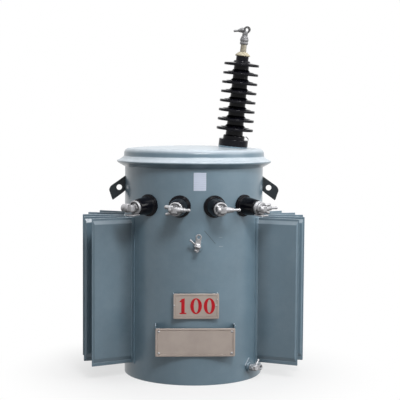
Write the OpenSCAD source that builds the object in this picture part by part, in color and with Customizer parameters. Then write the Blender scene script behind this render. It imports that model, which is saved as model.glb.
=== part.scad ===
// Single-phase pole mounted distribution transformer, 100 kVA class.
// Origin at the centre of the tank's underside, +Z up, front (low-voltage side) towards -Y.
// Angles round the tank are measured from the front, positive towards +X.

/* [Tank] */
// Outside diameter of the rolled tank wall
tank_d = 520; // [460:1:580]
// Height of the tank from the floor to the face of its top flange
tank_h = 796; // [760:1:860]
// Thickness of the tank wall
tank_t = 4; // [3:0.5:8]
// Thickness of the welded bottom plate
bottom_t = 6; // [4:0.5:12]
// How far the tank's and the cover's clamping flanges stand out of the wall
flange_out = 17; // [12:0.5:18]

/* [Cover] */
// Height of the cover's shoulder above its flange face
cover_h = 47; // [42:1:70]
// How far the crown of the cover rises above its shoulder
cover_rise = 10; // [6:0.5:18]
// How far the cover's wall stands out beyond the tank's wall
cover_step = 4; // [2:0.5:8]
// Thickness of the pressed cover
cover_t = 4; // [3:0.5:6]
// Outer radius of the cover's rounded shoulder
cover_corner = 20; // [12:1:22]
// Thickness of the gasket between the two flanges
gasket_t = 4; // [3:0.5:6]

/* [Cover band] */
// How far the tip of the clamping band stands out of the tank wall
band_out = 30; // [27:0.5:36]
// Half the height of the clamping band
band_half_h = 20; // [18:0.5:24]
// Thickness of the band's sheet
band_t = 3; // [2:0.5:4]
// Radius of the band's rounded tip
band_tip = 7; // [4:0.5:9]
// Open gap of the band at the rear, between its closing ears
band_gap = 16; // [10:1:24]
// How far the closing ears reach out from the tip of the band
ear_reach = 26; // [24:1:34]
// Thickness of a closing ear
ear_t = 8; // [6:1:12]
// Diameter of the band's closing bolt
band_bolt_d = 12; // [10:1:14]
// Height of the closing bolt's head and nut
band_head_h = 8; // [6:0.5:10]
// Width of the closing bolt's head and nut across their corners
band_head_d = 21; // [18:0.5:23]
// How far the closing bolt stands out of its nut
band_bolt_end = 5; // [3:0.5:10]

/* [High voltage bushing] */
// Angle of the bushing round the cover from the front
hv_az = 60; // [45:1:75]
// Distance of the bushing's foot inside the tank wall
hv_in = 98; // [90:1:110]
// Outward lean of the bushing
hv_tilt = 6.2; // [3:0.1:8]
// Least thickness of the sloping pad under the bushing
hv_pad_t = 3; // [2:0.5:8]
// Diameter of the bushing's clamp ring and its pad
hv_clamp_d = 108; // [104:1:116]
// Height of the clamp ring
hv_clamp_h = 25; // [22:1:32]
// Thickness of the clamp ring's lip over the bushing's foot
clamp_lip = 4; // [3:0.5:6]
// Diameter of the bushing's foot inside the clamp ring
hv_foot_d = 88; // [84:1:92]
// Width of the foot's shoulder under the lip
foot_step = 4; // [3:0.5:6]
// Height of the straight waist above the clamp ring
waist_h = 6; // [4:0.5:9]
// Number of sheds
shed_n = 8; // [5:1:10]
// Distance from one shed to the next
shed_pitch = 33.9; // [32:0.1:40]
// Height of the lowest shed's underside above the foot
shed_z = 61; // [58:1:70]
// Diameter of the lowest shed
shed_d_low = 136; // [124:1:146]
// Diameter of the highest shed
shed_d_top = 129; // [118:1:140]
// Thickness of a shed at its rounded rim
shed_edge = 7; // [4:0.5:8]
// Rise of a shed's upper face from its rim to its root
shed_rise = 2; // [1:0.5:4]
// How far a shed's thicker root spreads from the core
shed_root = 20; // [18:0.5:24]
// Height of the step from a shed's upper face to its root
shed_step = 2.5; // [1:0.5:4]
// Radius of the fillet from a shed's root into the core
shed_fillet = 15; // [10:1:17]
// Diameter of the core at the foot
core_d_low = 65; // [58:1:70]
// Diameter of the core under the highest shed
core_d_top = 55; // [52:1:60]
// Diameter of the neck above the highest shed
neck_d = 46; // [42:1:48]
// Height of the neck's top above the highest shed's underside
neck_h = 33; // [30:1:44]

/* [High voltage terminal] */
// Diameter of the cap's lower edge
cap_d = 56; // [50:1:60]
// Diameter of the cap's top
cap_top_d = 30; // [28:1:40]
// Height of the cap
cap_h = 15; // [10:1:18]
// Height of the cap's upright edge
cap_edge = 4; // [2:0.5:6]
// Diameter of the terminal stud
stud_d = 23; // [20:0.5:26]
// Length of the stud above the cap
stud_h = 40; // [30:1:48]
// Width across the flats of the connector's hexagonal socket
socket_af = 30; // [29:0.5:36]
// Height of the hexagonal socket
socket_h = 26; // [16:1:28]
// Diameter of the connector's neck
hv_neck_d = 19; // [16:0.5:22]
// Height of the eye's centre above the socket
hv_eye_h = 29.5; // [28:0.5:44]
// Distance of the eye's centre beyond the bushing's axis, away from the screw
hv_eye_off = 6; // [4:0.5:10]
// Diameter of the conductor hole in the high voltage eye
hv_eye_bore = 13; // [10:0.5:15]
// Thickness of the metal round the conductor hole
hv_eye_wall = 5; // [4:0.5:7]
// Width of the eye along its hole
hv_eye_t = 20; // [16:0.5:24]
// Downward slant of the clamping screw
hv_screw_droop = 11.7; // [0:0.1:16]
// Length of the clamping screw outside the eye
hv_screw_len = 38; // [30:1:56]
// Diameter of the clamping screw
hv_screw_d = 8; // [6:0.5:9]
// Diameter of the screw's tapering nut beside the eye
hv_nut_d = 19; // [14:0.5:20]
// Length of the tapering nut
hv_nut_len = 20; // [14:1:26]

/* [Low voltage bushings] */
// Depth of the low voltage bushings below the tank's flange face
lv_down = 151; // [130:1:170]
// Downward lean of the low voltage bushings
lv_droop = 3.5; // [0:0.1:6]
// Angle between neighbouring low voltage bushings
lv_step = 27.5; // [25:0.5:30]
// Diameter of the bushing's flange
lv_flange_d = 80; // [74:1:86]
// Thickness of the flange where it is furthest from the wall
lv_flange_t = 12; // [9:1:16]
// Distance from the wall to the outer end of the bushing
lv_len = 70; // [60:1:84]
// Diameter of the body beside the flange
lv_body_d = 66; // [60:1:70]
// Diameter of the body at its outer end
lv_tip_d = 53; // [48:1:56]
// Height of the step from the flange's edge to its raised face
lv_face_step = 6; // [3:0.5:8]
// Width of the flange's edge outside its raised face
lv_face_in = 4; // [2:0.5:6]
// Radius of the rounded edge of the flange's raised face
lv_face_round = 3; // [2:0.5:4]
// Radius of the rounded outer end of the body
lv_tip_round = 6; // [4:0.5:8]
// Diameter of the terminal's collar
lv_collar_d = 50; // [44:1:52]
// Thickness of the terminal's collar
lv_collar_t = 9; // [5:0.5:12]
// Height of the clamp block with the conductor hole
clamp_h = 24; // [21:0.5:27]
// Thickness of the metal round the conductor hole
clamp_wall = 5; // [4:0.5:7]
// Distance from the collar to the axis of the conductor hole
clamp_reach = 17; // [16:0.5:22]
// Diameter of the screw barrel beside the clamp block
barrel_d = 22; // [18:0.5:23]
// Diameter of the first terminal's wider screw barrel
wide_barrel_d = 32; // [24:0.5:33]
// Diameter of a screw barrel at its outer end
barrel_end_d = 15; // [13:0.5:17]
// Distance from the conductor hole to the outer end of the screw barrel
barrel_len = 40; // [30:1:46]
// The same distance on the first terminal's wider barrel
wide_barrel_len = 46; // [40:1:60]
// Length of the hexagonal tail on the other side of the clamp block
barrel_tail = 16; // [13:1:22]
// Diameter of the conductor hole
conductor_bore = 13; // [10:0.5:14]
// Diameter of the clamping screw in a barrel
clamp_screw_d = 9; // [7:0.5:10]
// Length of the last terminal's clamping screw outside its barrel
clamp_screw_len = 28; // [26:1:44]
// How much less of the screw stands out on each terminal to the left of it
screw_step = 8; // [0:0.5:8]
// Width of the tab under the collar of the first and last terminals
tab_w = 38; // [34:1:50]
// Length of the tab out from the bushing's end
tab_len = 38; // [24:1:42]
// Thickness of the tab
tab_t = 4; // [3:0.5:6]

/* [Radiator panels] */
// Number of panels on each side
panel_n = 5; // [3:1:5]
// Angle between neighbouring panels
panel_step = 14.1; // [13.5:0.1:15]
// Angle of the middle panel behind the side of the tank
panel_back = 1.9; // [0:0.1:4]
// Height of the panels' lower edge above the floor
panel_z = 54; // [30:1:90]
// Height of a panel
panel_h = 541; // [440:1:550]
// Reach of a panel from the tank wall
panel_len = 160; // [120:1:190]
// Thickness of a panel across its two faces
panel_t = 14; // [10:0.5:20]
// Thickness of the welded seam round a panel
seam_t = 3; // [2:0.5:4]
// Width of the seam
seam_w = 13; // [8:1:18]
// Width of the sloping shoulder inside the seam
shoulder_w = 15; // [8:1:20]
// Width of the strip that a panel's root is welded on
root_w = 46; // [30:1:52]
// Thickness of the root strip
root_t = 3; // [2:0.5:4]

/* [Lifting lugs] */
// Thickness of a lifting lug
lug_t = 10; // [8:1:14]
// Depth of the top of a lug's root below the tank's flange face
lug_down = 53; // [51:1:80]
// Height of a lug's root on the wall
lug_root_h = 55; // [50:1:64]
// Reach of a lug from the wall
lug_reach = 60; // [56:1:72]
// Slope of a lug's upper and lower edges
lug_slope = 35; // [28:1:40]
// Depth of a lug's tip below the top of its root
lug_drop = 89; // [84:1:96]
// Distance of a lug's tip from the wall
lug_tip_out = 47; // [42:1:56]
// Distance from the wall at which a lug's lower edge turns back to its root
lug_back_out = 7.5; // [6:0.5:12]
// Diameter of the shackle hole
lug_bore = 21; // [18:1:26]
// Distance of the shackle hole from the wall
lug_bore_out = 22.5; // [20:0.5:30]
// Depth of the shackle hole below the top of the root
lug_bore_down = 43; // [38:0.5:46]
// Radius of the lug's rounded outer corner
lug_round = 24; // [16:1:28]

/* [Pole hangers] */
// Height of the lower hanger's slot above the floor
hanger_z = 100; // [90:1:130]
// Depth of the upper hanger's slot below the tank's flange face
hanger_down = 106; // [96:1:140]
// Width of a hanger
hanger_w = 96; // [86:1:120]
// Height of a hanger
hanger_h = 130; // [120:1:150]
// Distance from the tank wall to the hanger's outer face
hanger_out = 66; // [54:1:90]
// Thickness of a hanger's plates
hanger_t = 8; // [6:1:12]
// Width of the slot for the pole bolt
slot_w = 22; // [18:1:26]
// Length of the slot between the centres of its ends
slot_len = 40; // [24:1:50]

/* [Plates] */
// Sideways place of both plates
plate_x = -4; // [-8:1:8]
// Distance of the plates' backs in front of the tank wall's foremost line
plate_gap = 7; // [5:0.5:16]
// Thickness of the plates
plate_t = 2; // [1.5:0.5:3]
// Width of the nameplate
name_w = 286; // [250:1:310]
// Height of the nameplate
name_h = 102; // [90:1:112]
// Height of the nameplate's lower edge
name_z = 108; // [90:1:112]
// Width of the rating plate
rating_w = 161; // [140:1:180]
// Height of the rating plate
rating_h = 91; // [80:1:106]
// Space between the nameplate and the rating plate above it
plate_space = 34; // [24:1:60]
// Width of the plates' raised border
border_w = 7; // [3:0.5:8]
// Height of the raised border
border_t = 1.5; // [1:0.5:3]
// Thickness of the plates' angle brackets
bracket_t = 3; // [2:0.5:4]
// Width of the angle bracket's face behind a plate
bracket_w = 18; // [14:1:24]
// How far the webs of the nameplate's brackets stand above it
bracket_rise = 9.5; // [4:0.5:12]

/* [Ground connectors] */
// Place of the front ground connector on the way from the rating plate's top to the bushings
ground_share = 0.55; // [0.45:0.01:0.6]
// Distance of the front ground connector along the wall, right of the tank's middle
ground_side = 5; // [0:0.5:12]
// Height of the ground connector by the base
base_ground_z = 48; // [42:1:60]
// Distance of the base ground connector along the wall from the first panel on the right
base_ground_lead = 66; // [51:1:72]
// Diameter of the welded ground pad
ground_pad_d = 34; // [30:1:38]
// How far a ground pad stands out of the wall
ground_pad_t = 9; // [7:1:14]
// Width of the ground connector's hexagonal body across its corners
ground_body_d = 24; // [20:1:28]
// Width of the connector's flat tail
ground_tail_d = 13; // [10:0.5:16]
// Distance from the connector's axis to the end of its tail
ground_tail_out = 15; // [12:0.5:20]
// Length of the hexagonal body out from its pad
ground_body_len = 30; // [28:1:40]
// Distance from the pad to the middle of the connector's eye
ground_eye_stand = 21; // [14:1:22]
// Diameter of the eye's opening for the ground wire
ground_eye_bore = 11; // [9:0.5:13]
// Thickness of the metal round the eye
ground_eye_wall = 5; // [4:0.5:6]
// Thickness of the eye along its axis
ground_eye_t = 8; // [6:0.5:10]
// Distance from the connector's axis to the centre of its eye
ground_eye_out = 33; // [28:1:38]
// Diameter of the ground clamp's screw
ground_screw_d = 7; // [6:0.5:9]
// Length of the ground clamp's screw outside the body
ground_screw_len = 24; // [18:1:34]
// Width of the gusset above the base ground pad
gusset_w = 46; // [36:1:54]
// Height of the gusset
gusset_h = 26; // [20:1:36]
// Thickness of the gusset over the wall
gusset_t = 5; // [3:0.5:6]

/* [Hidden] */

// Turns of the two ground connectors on their studs: one eye points up, one to the side
front_turn = -6.5;
base_turn = -95;
// Turn of a ground connector's screw from its eye's own direction
screw_turn = 145;
// Radius of a clamping screw's rounded end as a share of its diameter
screw_ball = 0.62;

$fn = 96;
wall_fn = 720;
fit = 0.2;
past = 5;
arc_n = 6;
dome_n = 12;
tank_grey = [0.42, 0.49, 0.54];
porcelain_black = [0.06, 0.06, 0.08];
tinned = [0.80, 0.81, 0.82];
plate_metal = [0.72, 0.67, 0.62];
lug_grey = [0.18, 0.20, 0.22];

tank_r = tank_d / 2;
cover_r = tank_r + cover_step;
cover_z = tank_h + gasket_t;
shoulder_z = cover_z + cover_h;
rim_z = tank_h + gasket_t / 2;
dome_edge_r = cover_r - cover_corner;
dome_r = (dome_edge_r * dome_edge_r + cover_rise * cover_rise) / (2 * cover_rise);
hv_clamp_r = hv_clamp_d / 2;
hv_r = tank_r - hv_in;
hv_z = shoulder_z + cover_rise - dome_drop(hv_r + hv_clamp_r)
    + hv_clamp_r * sin(hv_tilt) + hv_pad_t;
shed_top_z = shed_z + (shed_n - 1) * shed_pitch;
neck_top_z = shed_top_z + neck_h;
foot_h = hv_clamp_h - clamp_lip;
socket_z = neck_top_z + cap_h + stud_h - socket_h / 2;
lv_z = tank_h - lv_down;
lug_top_z = tank_h - lug_down;
rating_z = name_z + name_h + plate_space;
rating_top_z = rating_z + rating_h;
front_ground_z = rating_top_z + ground_share * (lv_z - rating_top_z);
front_ground_az = ground_side / (PI * tank_d) * 360;
base_ground_az = panel_az(1, 1) - base_ground_lead / (PI * tank_d) * 360;
clamp_out = lv_len + lv_collar_t + clamp_reach;
lug_az = panel_az(1, floor(panel_n / 2) + 0.5);
plate_y = -(tank_r + plate_gap);
ground_end_r = tank_r + ground_pad_t;

// Fall of the cover's crown at a radius
function dome_drop(r) = dome_r - sqrt(dome_r * dome_r - r * r);
// Points of an arc from one angle to another
function arc(c, r, a0, a1, n = arc_n) =
    [for (i = [0:n]) let (a = a0 + (a1 - a0) * i / n) [c[0] + r * cos(a), c[1] + r * sin(a)]];
// Angle of one low voltage bushing, numbered 1 to 4 from the left
function lv_az(i) = (i - 2.5) * lv_step;
// Angle of one radiator panel, numbered from the front
function panel_az(side, i) = side * (90 + panel_back + (i - 1 - (panel_n - 1) / 2) * panel_step);

// Places what is drawn along +Z on the wall: +Z leaves the tank, +Y points up
module on_wall(az, z, r = tank_r) {
    rotate([0, 0, az]) translate([0, -r, z]) rotate([90, 0, 0]) children();
}

// Places what is drawn along +Z on the leaning axis of the high voltage bushing
module on_bushing_axis(z = 0) {
    rotate([0, 0, hv_az - 90]) translate([hv_r, 0, hv_z]) rotate([0, hv_tilt, 0])
        translate([0, 0, z]) children();
}

// The outside of the tank, grown by a fit, as a cutter for what is seated on it
module tank_body(grow = fit) {
    translate([0, 0, -past]) cylinder(h = tank_h + 2 * past, r = tank_r + grow, $fn = wall_fn);
}

// Height of a clamping flange's sloping face above the band's edge at a radius
function flange_slope(r_wall) = band_half_h / (tank_r + band_out - r_wall);
function flange_rise(r_wall) = band_t * sqrt(1 + pow(flange_slope(r_wall), 2)) + fit;

module tank_wall() {
    z0 = rim_z - band_half_h + flange_rise(tank_r);
    color(tank_grey) rotate_extrude() polygon([
        [tank_r - tank_t, 0], [tank_r, 0], [tank_r, z0],
        [tank_r + flange_out, z0 + flange_out * flange_slope(tank_r)],
        [tank_r + flange_out, tank_h], [tank_r - tank_t, tank_h]]);
}

module tank_bottom() {
    color(tank_grey) cylinder(h = bottom_t, r = tank_r - tank_t - fit);
}

// Outline of the cover's bowl from its wall over the rounded shoulder to the crown, moved
// inwards by a thickness
function bowl_points(t) = concat(
    arc([dome_edge_r, shoulder_z - cover_corner], cover_corner - t, 0, 90, 2 * arc_n),
    [for (i = [dome_n - 1:-1:0]) let (r = dome_edge_r * i / dome_n)
        [r, shoulder_z + cover_rise - dome_drop(r) - t]]);

// Everything inside the cover's outer surface, as a cutter for what is seated on it
module cover_body() {
    rotate_extrude($fn = wall_fn)
        polygon(concat([[0, cover_z], [cover_r, cover_z]], bowl_points(0)));
}

module cover() {
    z1 = rim_z + band_half_h - flange_rise(cover_r);
    edge_r = tank_r + flange_out;
    inside = bowl_points(cover_t);
    color(tank_grey) rotate_extrude() polygon(concat(
        [[cover_r - cover_t, cover_z], [edge_r, cover_z],
         [edge_r, z1 - (edge_r - cover_r) * flange_slope(cover_r)], [cover_r, z1]],
        bowl_points(0),
        [for (i = [len(inside) - 1:-1:0]) inside[i]]));
}

module cover_gasket() {
    color([0.1, 0.1, 0.1]) translate([0, 0, tank_h]) difference() {
        cylinder(h = gasket_t, r = tank_r + flange_out);
        translate([0, 0, -past]) cylinder(h = gasket_t + 2 * past, r = tank_r - tank_t);
    }
}

// Section of the rolled V band that grips both flanges, with a rounded tip
module band_section() {
    low = flange_slope(tank_r);
    high = flange_slope(cover_r);
    tip_r = tank_r + band_out;
    polygon(concat(
        [[tank_r + fit, rim_z - band_half_h]],
        arc([tip_r - band_tip, rim_z], band_tip, -90 + atan(low), 90 - atan(high)),
        [[cover_r + fit, rim_z + band_half_h],
         [cover_r + fit, rim_z + band_half_h - flange_rise(cover_r) + fit],
         [tip_r - 2 * band_t, rim_z + band_t / 2],
         [tip_r - 2 * band_t, rim_z - band_t / 2],
         [tank_r + fit, rim_z - band_half_h + flange_rise(tank_r) - fit]]));
}

module cover_band() {
    ear_in = flange_out + band_t;
    color(tank_grey) union() {
        difference() {
            rotate_extrude() band_section();
            translate([-band_gap / 2, 0, rim_z - band_half_h - past])
                cube([band_gap, tank_d, 2 * band_half_h + 2 * past]);
        }
        for (side = [-1, 1]) band_ear(side, ear_in);
    }
}

// One ear of the band's closing, drilled for the bolt
module band_ear(side, ear_in) {
    difference() {
        translate([side > 0 ? band_gap / 2 : -band_gap / 2 - ear_t, tank_r + ear_in + band_t,
                   rim_z - band_half_h / 2])
            cube([ear_t, band_out - ear_in - band_t + ear_reach, band_half_h]);
        band_bolt_axis(band_gap / 2 + ear_t + past)
            cylinder(h = band_gap + 2 * ear_t + 2 * past, r = band_bolt_d / 2 + fit);
    }
}

// Axis of the closing bolt, starting at a distance on the -X side
module band_bolt_axis(start) {
    translate([-start, tank_r + band_out + ear_reach / 2, rim_z]) rotate([0, 90, 0]) children();
}

module cover_band_bolt() {
    grip = band_gap / 2 + ear_t;
    color(tinned) union() {
        band_bolt_axis(grip)
            cylinder(h = 2 * grip + band_head_h + band_bolt_end, r = band_bolt_d / 2);
        band_bolt_axis(grip + band_head_h) cylinder(h = band_head_h, r = band_head_d / 2, $fn = 6);
        band_bolt_axis(-grip) cylinder(h = band_head_h, r = band_head_d / 2, $fn = 6);
    }
}

module hv_bushing_pad() {
    color(tank_grey) difference() {
        on_bushing_axis(-cover_h / 2) cylinder(h = cover_h / 2, r = hv_clamp_r);
        translate([0, 0, fit]) cover_body();
    }
}

module hv_bushing_clamp() {
    color(porcelain_black) on_bushing_axis() difference() {
        cylinder(h = hv_clamp_h, r = hv_clamp_r);
        translate([0, 0, -past]) cylinder(h = foot_h + past + fit, r = hv_foot_d / 2 + fit);
        cylinder(h = hv_clamp_h + past, r = hv_foot_d / 2 - foot_step + fit);
    }
}

// Radius of the bushing's core at a height above the foot
function core_r(z) = (core_d_low + (core_d_top - core_d_low) * z / shed_top_z) / 2;
// Radius of one shed, counted from the lowest
function shed_r(i) = (shed_d_low + (shed_d_top - shed_d_low) * i / (shed_n - 1)) / 2;
// Outline of one shed: flat underside, rounded rim, sloping top, a step up to its thicker root
// and the fillet into the core above
function shed_points(i, r_above) =
    let (z = shed_z + i * shed_pitch, r = shed_r(i), e = shed_edge / 2, root_r = r_above + shed_root,
         top = z + shed_edge + shed_rise)
    concat([[core_r(z), z]], arc([r - e, z + e], e, -90, 90),
           [[root_r, top], [root_r, top + shed_step]],
           arc([r_above + shed_fillet, top + shed_step + shed_fillet], shed_fillet, 270, 180));

module hv_bushing() {
    foot_r = hv_foot_d / 2;
    waist_r = foot_r - foot_step;
    waist_round = waist_r - core_r(shed_z / 2);
    color(porcelain_black) on_bushing_axis() rotate_extrude() polygon(concat(
        [[0, 0], [foot_r, 0], [foot_r, foot_h], [waist_r, foot_h]],
        arc([waist_r - waist_round, hv_clamp_h + waist_h], waist_round, 0, 90),
        [for (i = [0:shed_n - 1]) each shed_points(i,
            i < shed_n - 1 ? core_r(shed_z + i * shed_pitch + shed_fillet) : neck_d / 2)],
        [[neck_d / 2, neck_top_z], [0, neck_top_z]]));
}

module hv_terminal_cap() {
    color([0.87, 0.80, 0.66]) on_bushing_axis(neck_top_z) difference() {
        rotate_extrude() polygon([[0, 0], [cap_d / 2, 0], [cap_d / 2, cap_edge],
                                  [cap_top_d / 2, cap_h], [0, cap_h]]);
        translate([0, 0, -past]) cylinder(h = cap_h + 2 * past, r = stud_d / 2 + fit);
    }
}

module hv_stud() {
    color([0.68, 0.61, 0.50]) on_bushing_axis(neck_top_z)
        cylinder(h = cap_h + stud_h, r = stud_d / 2);
}

// Turns the connector on the bushing's axis so that its screw points to the left
module on_connector(z = 0) {
    on_bushing_axis(socket_z + z) rotate([0, 0, 270 - hv_az]) children();
}

// Places what is drawn along +Z on the clamping screw's axis, from the eye's centre
module on_hv_screw() {
    on_connector(socket_h + hv_eye_h) translate([-hv_eye_off, 0, 0])
        rotate([0, 90 + hv_screw_droop, 0]) children();
}

// The connector: a hexagonal socket on the stud, a neck, and an eye that stands off to one side
// and is faced for the screw's nut
module hv_connector() {
    eye_r = hv_eye_bore / 2 + hv_eye_wall;
    neck_r = hv_neck_d / 2;
    eye_z = socket_h + hv_eye_h;
    color(tinned) difference() {
        on_connector() union() {
            cylinder(h = socket_h, r = socket_af / 2 / cos(30), $fn = 6);
            cylinder(h = eye_z - hv_eye_bore / 2 - hv_eye_wall / 2, r = neck_r);
            translate([-hv_eye_off, 0, eye_z]) rotate([90, 0, 0])
                cylinder(h = hv_eye_t, r = eye_r, center = true);
            rotate([90, 0, 0]) linear_extrude(hv_neck_d, center = true)
                polygon([[-neck_r, socket_h + neck_r], [neck_r - fit, socket_h + neck_r],
                         [neck_r - fit, eye_z - neck_r], [-hv_eye_off, eye_z],
                         [-hv_eye_off - eye_r, eye_z]]);
        }
        on_connector(-past) cylinder(h = socket_h / 2 + past, r = stud_d / 2 + fit);
        on_connector(eye_z) translate([-hv_eye_off, 0, 0]) rotate([90, 0, 0])
            cylinder(h = hv_eye_t + 2 * past, r = hv_eye_bore / 2, center = true);
        on_hv_screw() {
            cylinder(h = 2 * eye_r, r = hv_screw_d / 2 + fit);
            translate([0, 0, eye_r + fit]) cylinder(h = hv_neck_d, r = hv_nut_d / 2 + fit);
        }
    }
}

// The screw with its tapering nut, which sits against the eye
module hv_clamp_screw() {
    seat = hv_eye_bore / 2 + hv_eye_wall + 2 * fit;
    color(tinned) on_hv_screw() union() {
        translate([0, 0, hv_eye_bore / 2])
            cylinder(h = hv_eye_wall + hv_screw_len, r = hv_screw_d / 2);
        translate([0, 0, seat]) cylinder(h = hv_nut_len, r1 = hv_nut_d / 2, r2 = hv_screw_d / 2 + fit);
    }
}

// Places what is drawn along +Z on the drooping axis of one low voltage bushing
module on_lv(i, out = 0) {
    on_wall(lv_az(i), lv_z) rotate([lv_droop, 0, 0]) translate([0, 0, out]) children();
}

module lv_bushing(i) {
    flange_r = lv_flange_d / 2;
    face_r = flange_r - lv_face_in;
    draft = atan((lv_body_d - lv_tip_d) / 2 / (lv_len - lv_flange_t));
    color(porcelain_black) difference() {
        on_lv(i) rotate_extrude() polygon(concat(
            [[0, -lv_flange_t], [flange_r, -lv_flange_t], [flange_r, lv_flange_t - lv_face_step],
             [face_r, lv_flange_t - lv_face_step]],
            arc([face_r - lv_face_round, lv_flange_t - lv_face_round], lv_face_round, 0, 90),
            [[lv_body_d / 2, lv_flange_t]],
            arc([lv_tip_d / 2 - lv_tip_round, lv_len - lv_tip_round], lv_tip_round, draft, 90),
            [[0, lv_len]]));
        tank_body();
    }
}

// Length of a terminal's screw barrel, and of its screw outside the barrel
function barrel_l(i) = i == 1 ? wide_barrel_len : barrel_len;
function screw_out(i) = clamp_screw_len - (4 - i) * screw_step;

// Axis of a screw barrel across a terminal, pointing to the side where its screw leaves
module on_barrel(i) {
    on_lv(i, clamp_out) rotate([0, i == 1 ? -90 : 90, 0]) children();
}

// One terminal: a collar, a block with the upright conductor hole, a tapering barrel for the
// clamping screw on one side and a hexagonal tail on the other, both let into the block; the first
// and last terminals have a flat tab under the collar
module lv_terminal(i) {
    block = conductor_bore + 2 * clamp_wall;
    let_in = block / 2 - clamp_wall / 2;
    wide_r = (i == 1 ? wide_barrel_d : barrel_d) / 2;
    color(tinned) difference() {
        union() {
            on_lv(i, lv_len) {
                cylinder(h = lv_collar_t, r = lv_collar_d / 2);
                cylinder(h = lv_collar_t + clamp_reach - let_in, r = clamp_h / 2 - fit);
                if (i == 1 || i == 4)
                    translate([-tab_w / 2, -lv_collar_d / 2 - tab_t / 2, 0])
                        cube([tab_w, tab_t, tab_len]);
            }
            on_lv(i, clamp_out) translate([-block / 2, -clamp_h / 2, -block / 2])
                cube([block, clamp_h, block]);
            on_barrel(i) {
                translate([0, 0, let_in])
                    cylinder(h = barrel_l(i) - let_in, r1 = wide_r,
                             r2 = barrel_end_d / 2 + wide_r - barrel_d / 2);
                translate([0, 0, -block / 2 - barrel_tail])
                    cylinder(h = barrel_tail + clamp_wall / 2, r = clamp_h / 2 - fit, $fn = 6);
            }
        }
        on_lv(i, clamp_out) rotate([90, 0, 0])
            cylinder(h = clamp_h + 2 * past, r = conductor_bore / 2, center = true);
        on_barrel(i) cylinder(h = barrel_l(i) + past, r = clamp_screw_d / 2 + fit);
    }
}

// The clamping screws, each with a rounded end that takes a key
module lv_clamp_screws() {
    hole = conductor_bore / 2;
    color(tinned) for (i = [1:4]) on_barrel(i) {
        translate([0, 0, hole])
            cylinder(h = barrel_l(i) - hole + screw_out(i), r = clamp_screw_d / 2);
        translate([0, 0, barrel_l(i) + screw_out(i)]) sphere(r = clamp_screw_d * screw_ball);
    }
}

// One pressed panel: a flat pillow of oil space inside a welded seam, on a root strip
module radiator_panel(side, i) {
    reach = tank_r + panel_len;
    half = panel_t / 2;
    seam = seam_t / 2;
    face_r = reach - seam_w - shoulder_w;
    inner_r = tank_r - past;
    color(tank_grey) difference() {
        rotate([0, 0, panel_az(side, i)]) rotate([0, 0, -90]) translate([0, 0, panel_z]) union() {
            translate([inner_r, -seam, 0]) cube([reach - inner_r, seam_t, panel_h]);
            intersection() {
                linear_extrude(panel_h) polygon([
                    [inner_r, -half], [face_r, -half], [reach - seam_w, -seam],
                    [reach - seam_w, seam], [face_r, half], [inner_r, half]]);
                rotate([90, 0, 90]) linear_extrude(reach) polygon([
                    [-seam, seam_w], [-half, seam_w + shoulder_w],
                    [-half, panel_h - seam_w - shoulder_w], [-seam, panel_h - seam_w],
                    [seam, panel_h - seam_w], [half, panel_h - seam_w - shoulder_w],
                    [half, seam_w + shoulder_w], [seam, seam_w]]);
            }
            intersection() {
                translate([0, -root_w / 2, 0]) cube([reach, root_w, panel_h]);
                cylinder(h = panel_h, r = tank_r + fit + root_t);
            }
        }
        tank_body();
    }
}

// One lug, upright in the gap between two panels and above them
module lifting_lug(side) {
    drop = lug_reach * tan(lug_slope);
    corner = [tank_r + lug_reach - lug_round, lug_top_z - drop + lug_round * tan(lug_slope)
              - lug_round / cos(lug_slope)];
    tip = [tank_r + lug_tip_out, lug_top_z - lug_drop];
    back = [tank_r + lug_back_out, tip[1] + (lug_tip_out - lug_back_out) * tan(lug_slope)];
    color(lug_grey) difference() {
        rotate([90, 0, side * lug_az - 90]) linear_extrude(lug_t, center = true) polygon(concat(
            [[tank_r - past, lug_top_z + past * tan(lug_slope)]],
            arc(corner, lug_round, 90 - lug_slope, 0),
            [tip, back, [tank_r, lug_top_z - lug_root_h],
             [tank_r - past, lug_top_z - lug_root_h]]));
        tank_body();
        on_wall(side * lug_az, lug_top_z - lug_bore_down, tank_r + lug_bore_out) rotate([0, 90, 0])
            cylinder(h = lug_t + 2 * past, r = lug_bore / 2, center = true);
    }
}

// One pole hanger: two side webs on the round wall carry a slotted face
module hanger(z) {
    sunk = past + tank_r - sqrt(tank_r * tank_r - hanger_w * hanger_w / 4);
    cut = hanger_t + 2 * past;
    color(tank_grey) difference() {
        on_wall(180, z) union() {
            translate([-hanger_w / 2, -hanger_h / 2, hanger_out - hanger_t])
                cube([hanger_w, hanger_h, hanger_t]);
            for (side = [-1, 1])
                translate([side * (hanger_w - hanger_t) / 2 - hanger_t / 2, -hanger_h / 2, -sunk])
                    cube([hanger_t, hanger_h, sunk + hanger_out - hanger_t]);
        }
        tank_body();
        on_wall(180, z) translate([0, 0, hanger_out - hanger_t - past]) {
            for (end = [-1, 1])
                translate([0, end * slot_len / 2, 0]) cylinder(h = cut, r = slot_w / 2);
            translate([-slot_w / 2, -slot_len / 2, 0]) cube([slot_w, slot_len, cut]);
        }
    }
}

// A flat plate with a raised border, its back at plate_y
module bordered_plate(w, h, z) {
    translate([plate_x, plate_y, z]) rotate([90, 0, 0]) union() {
        translate([-w / 2, 0, 0]) cube([w, h, plate_t]);
        difference() {
            translate([-w / 2, 0, 0]) cube([w, h, plate_t + border_t]);
            translate([border_w - w / 2, border_w, -past])
                cube([w - 2 * border_w, h - 2 * border_w, plate_t + border_t + 2 * past]);
        }
    }
}

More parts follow.
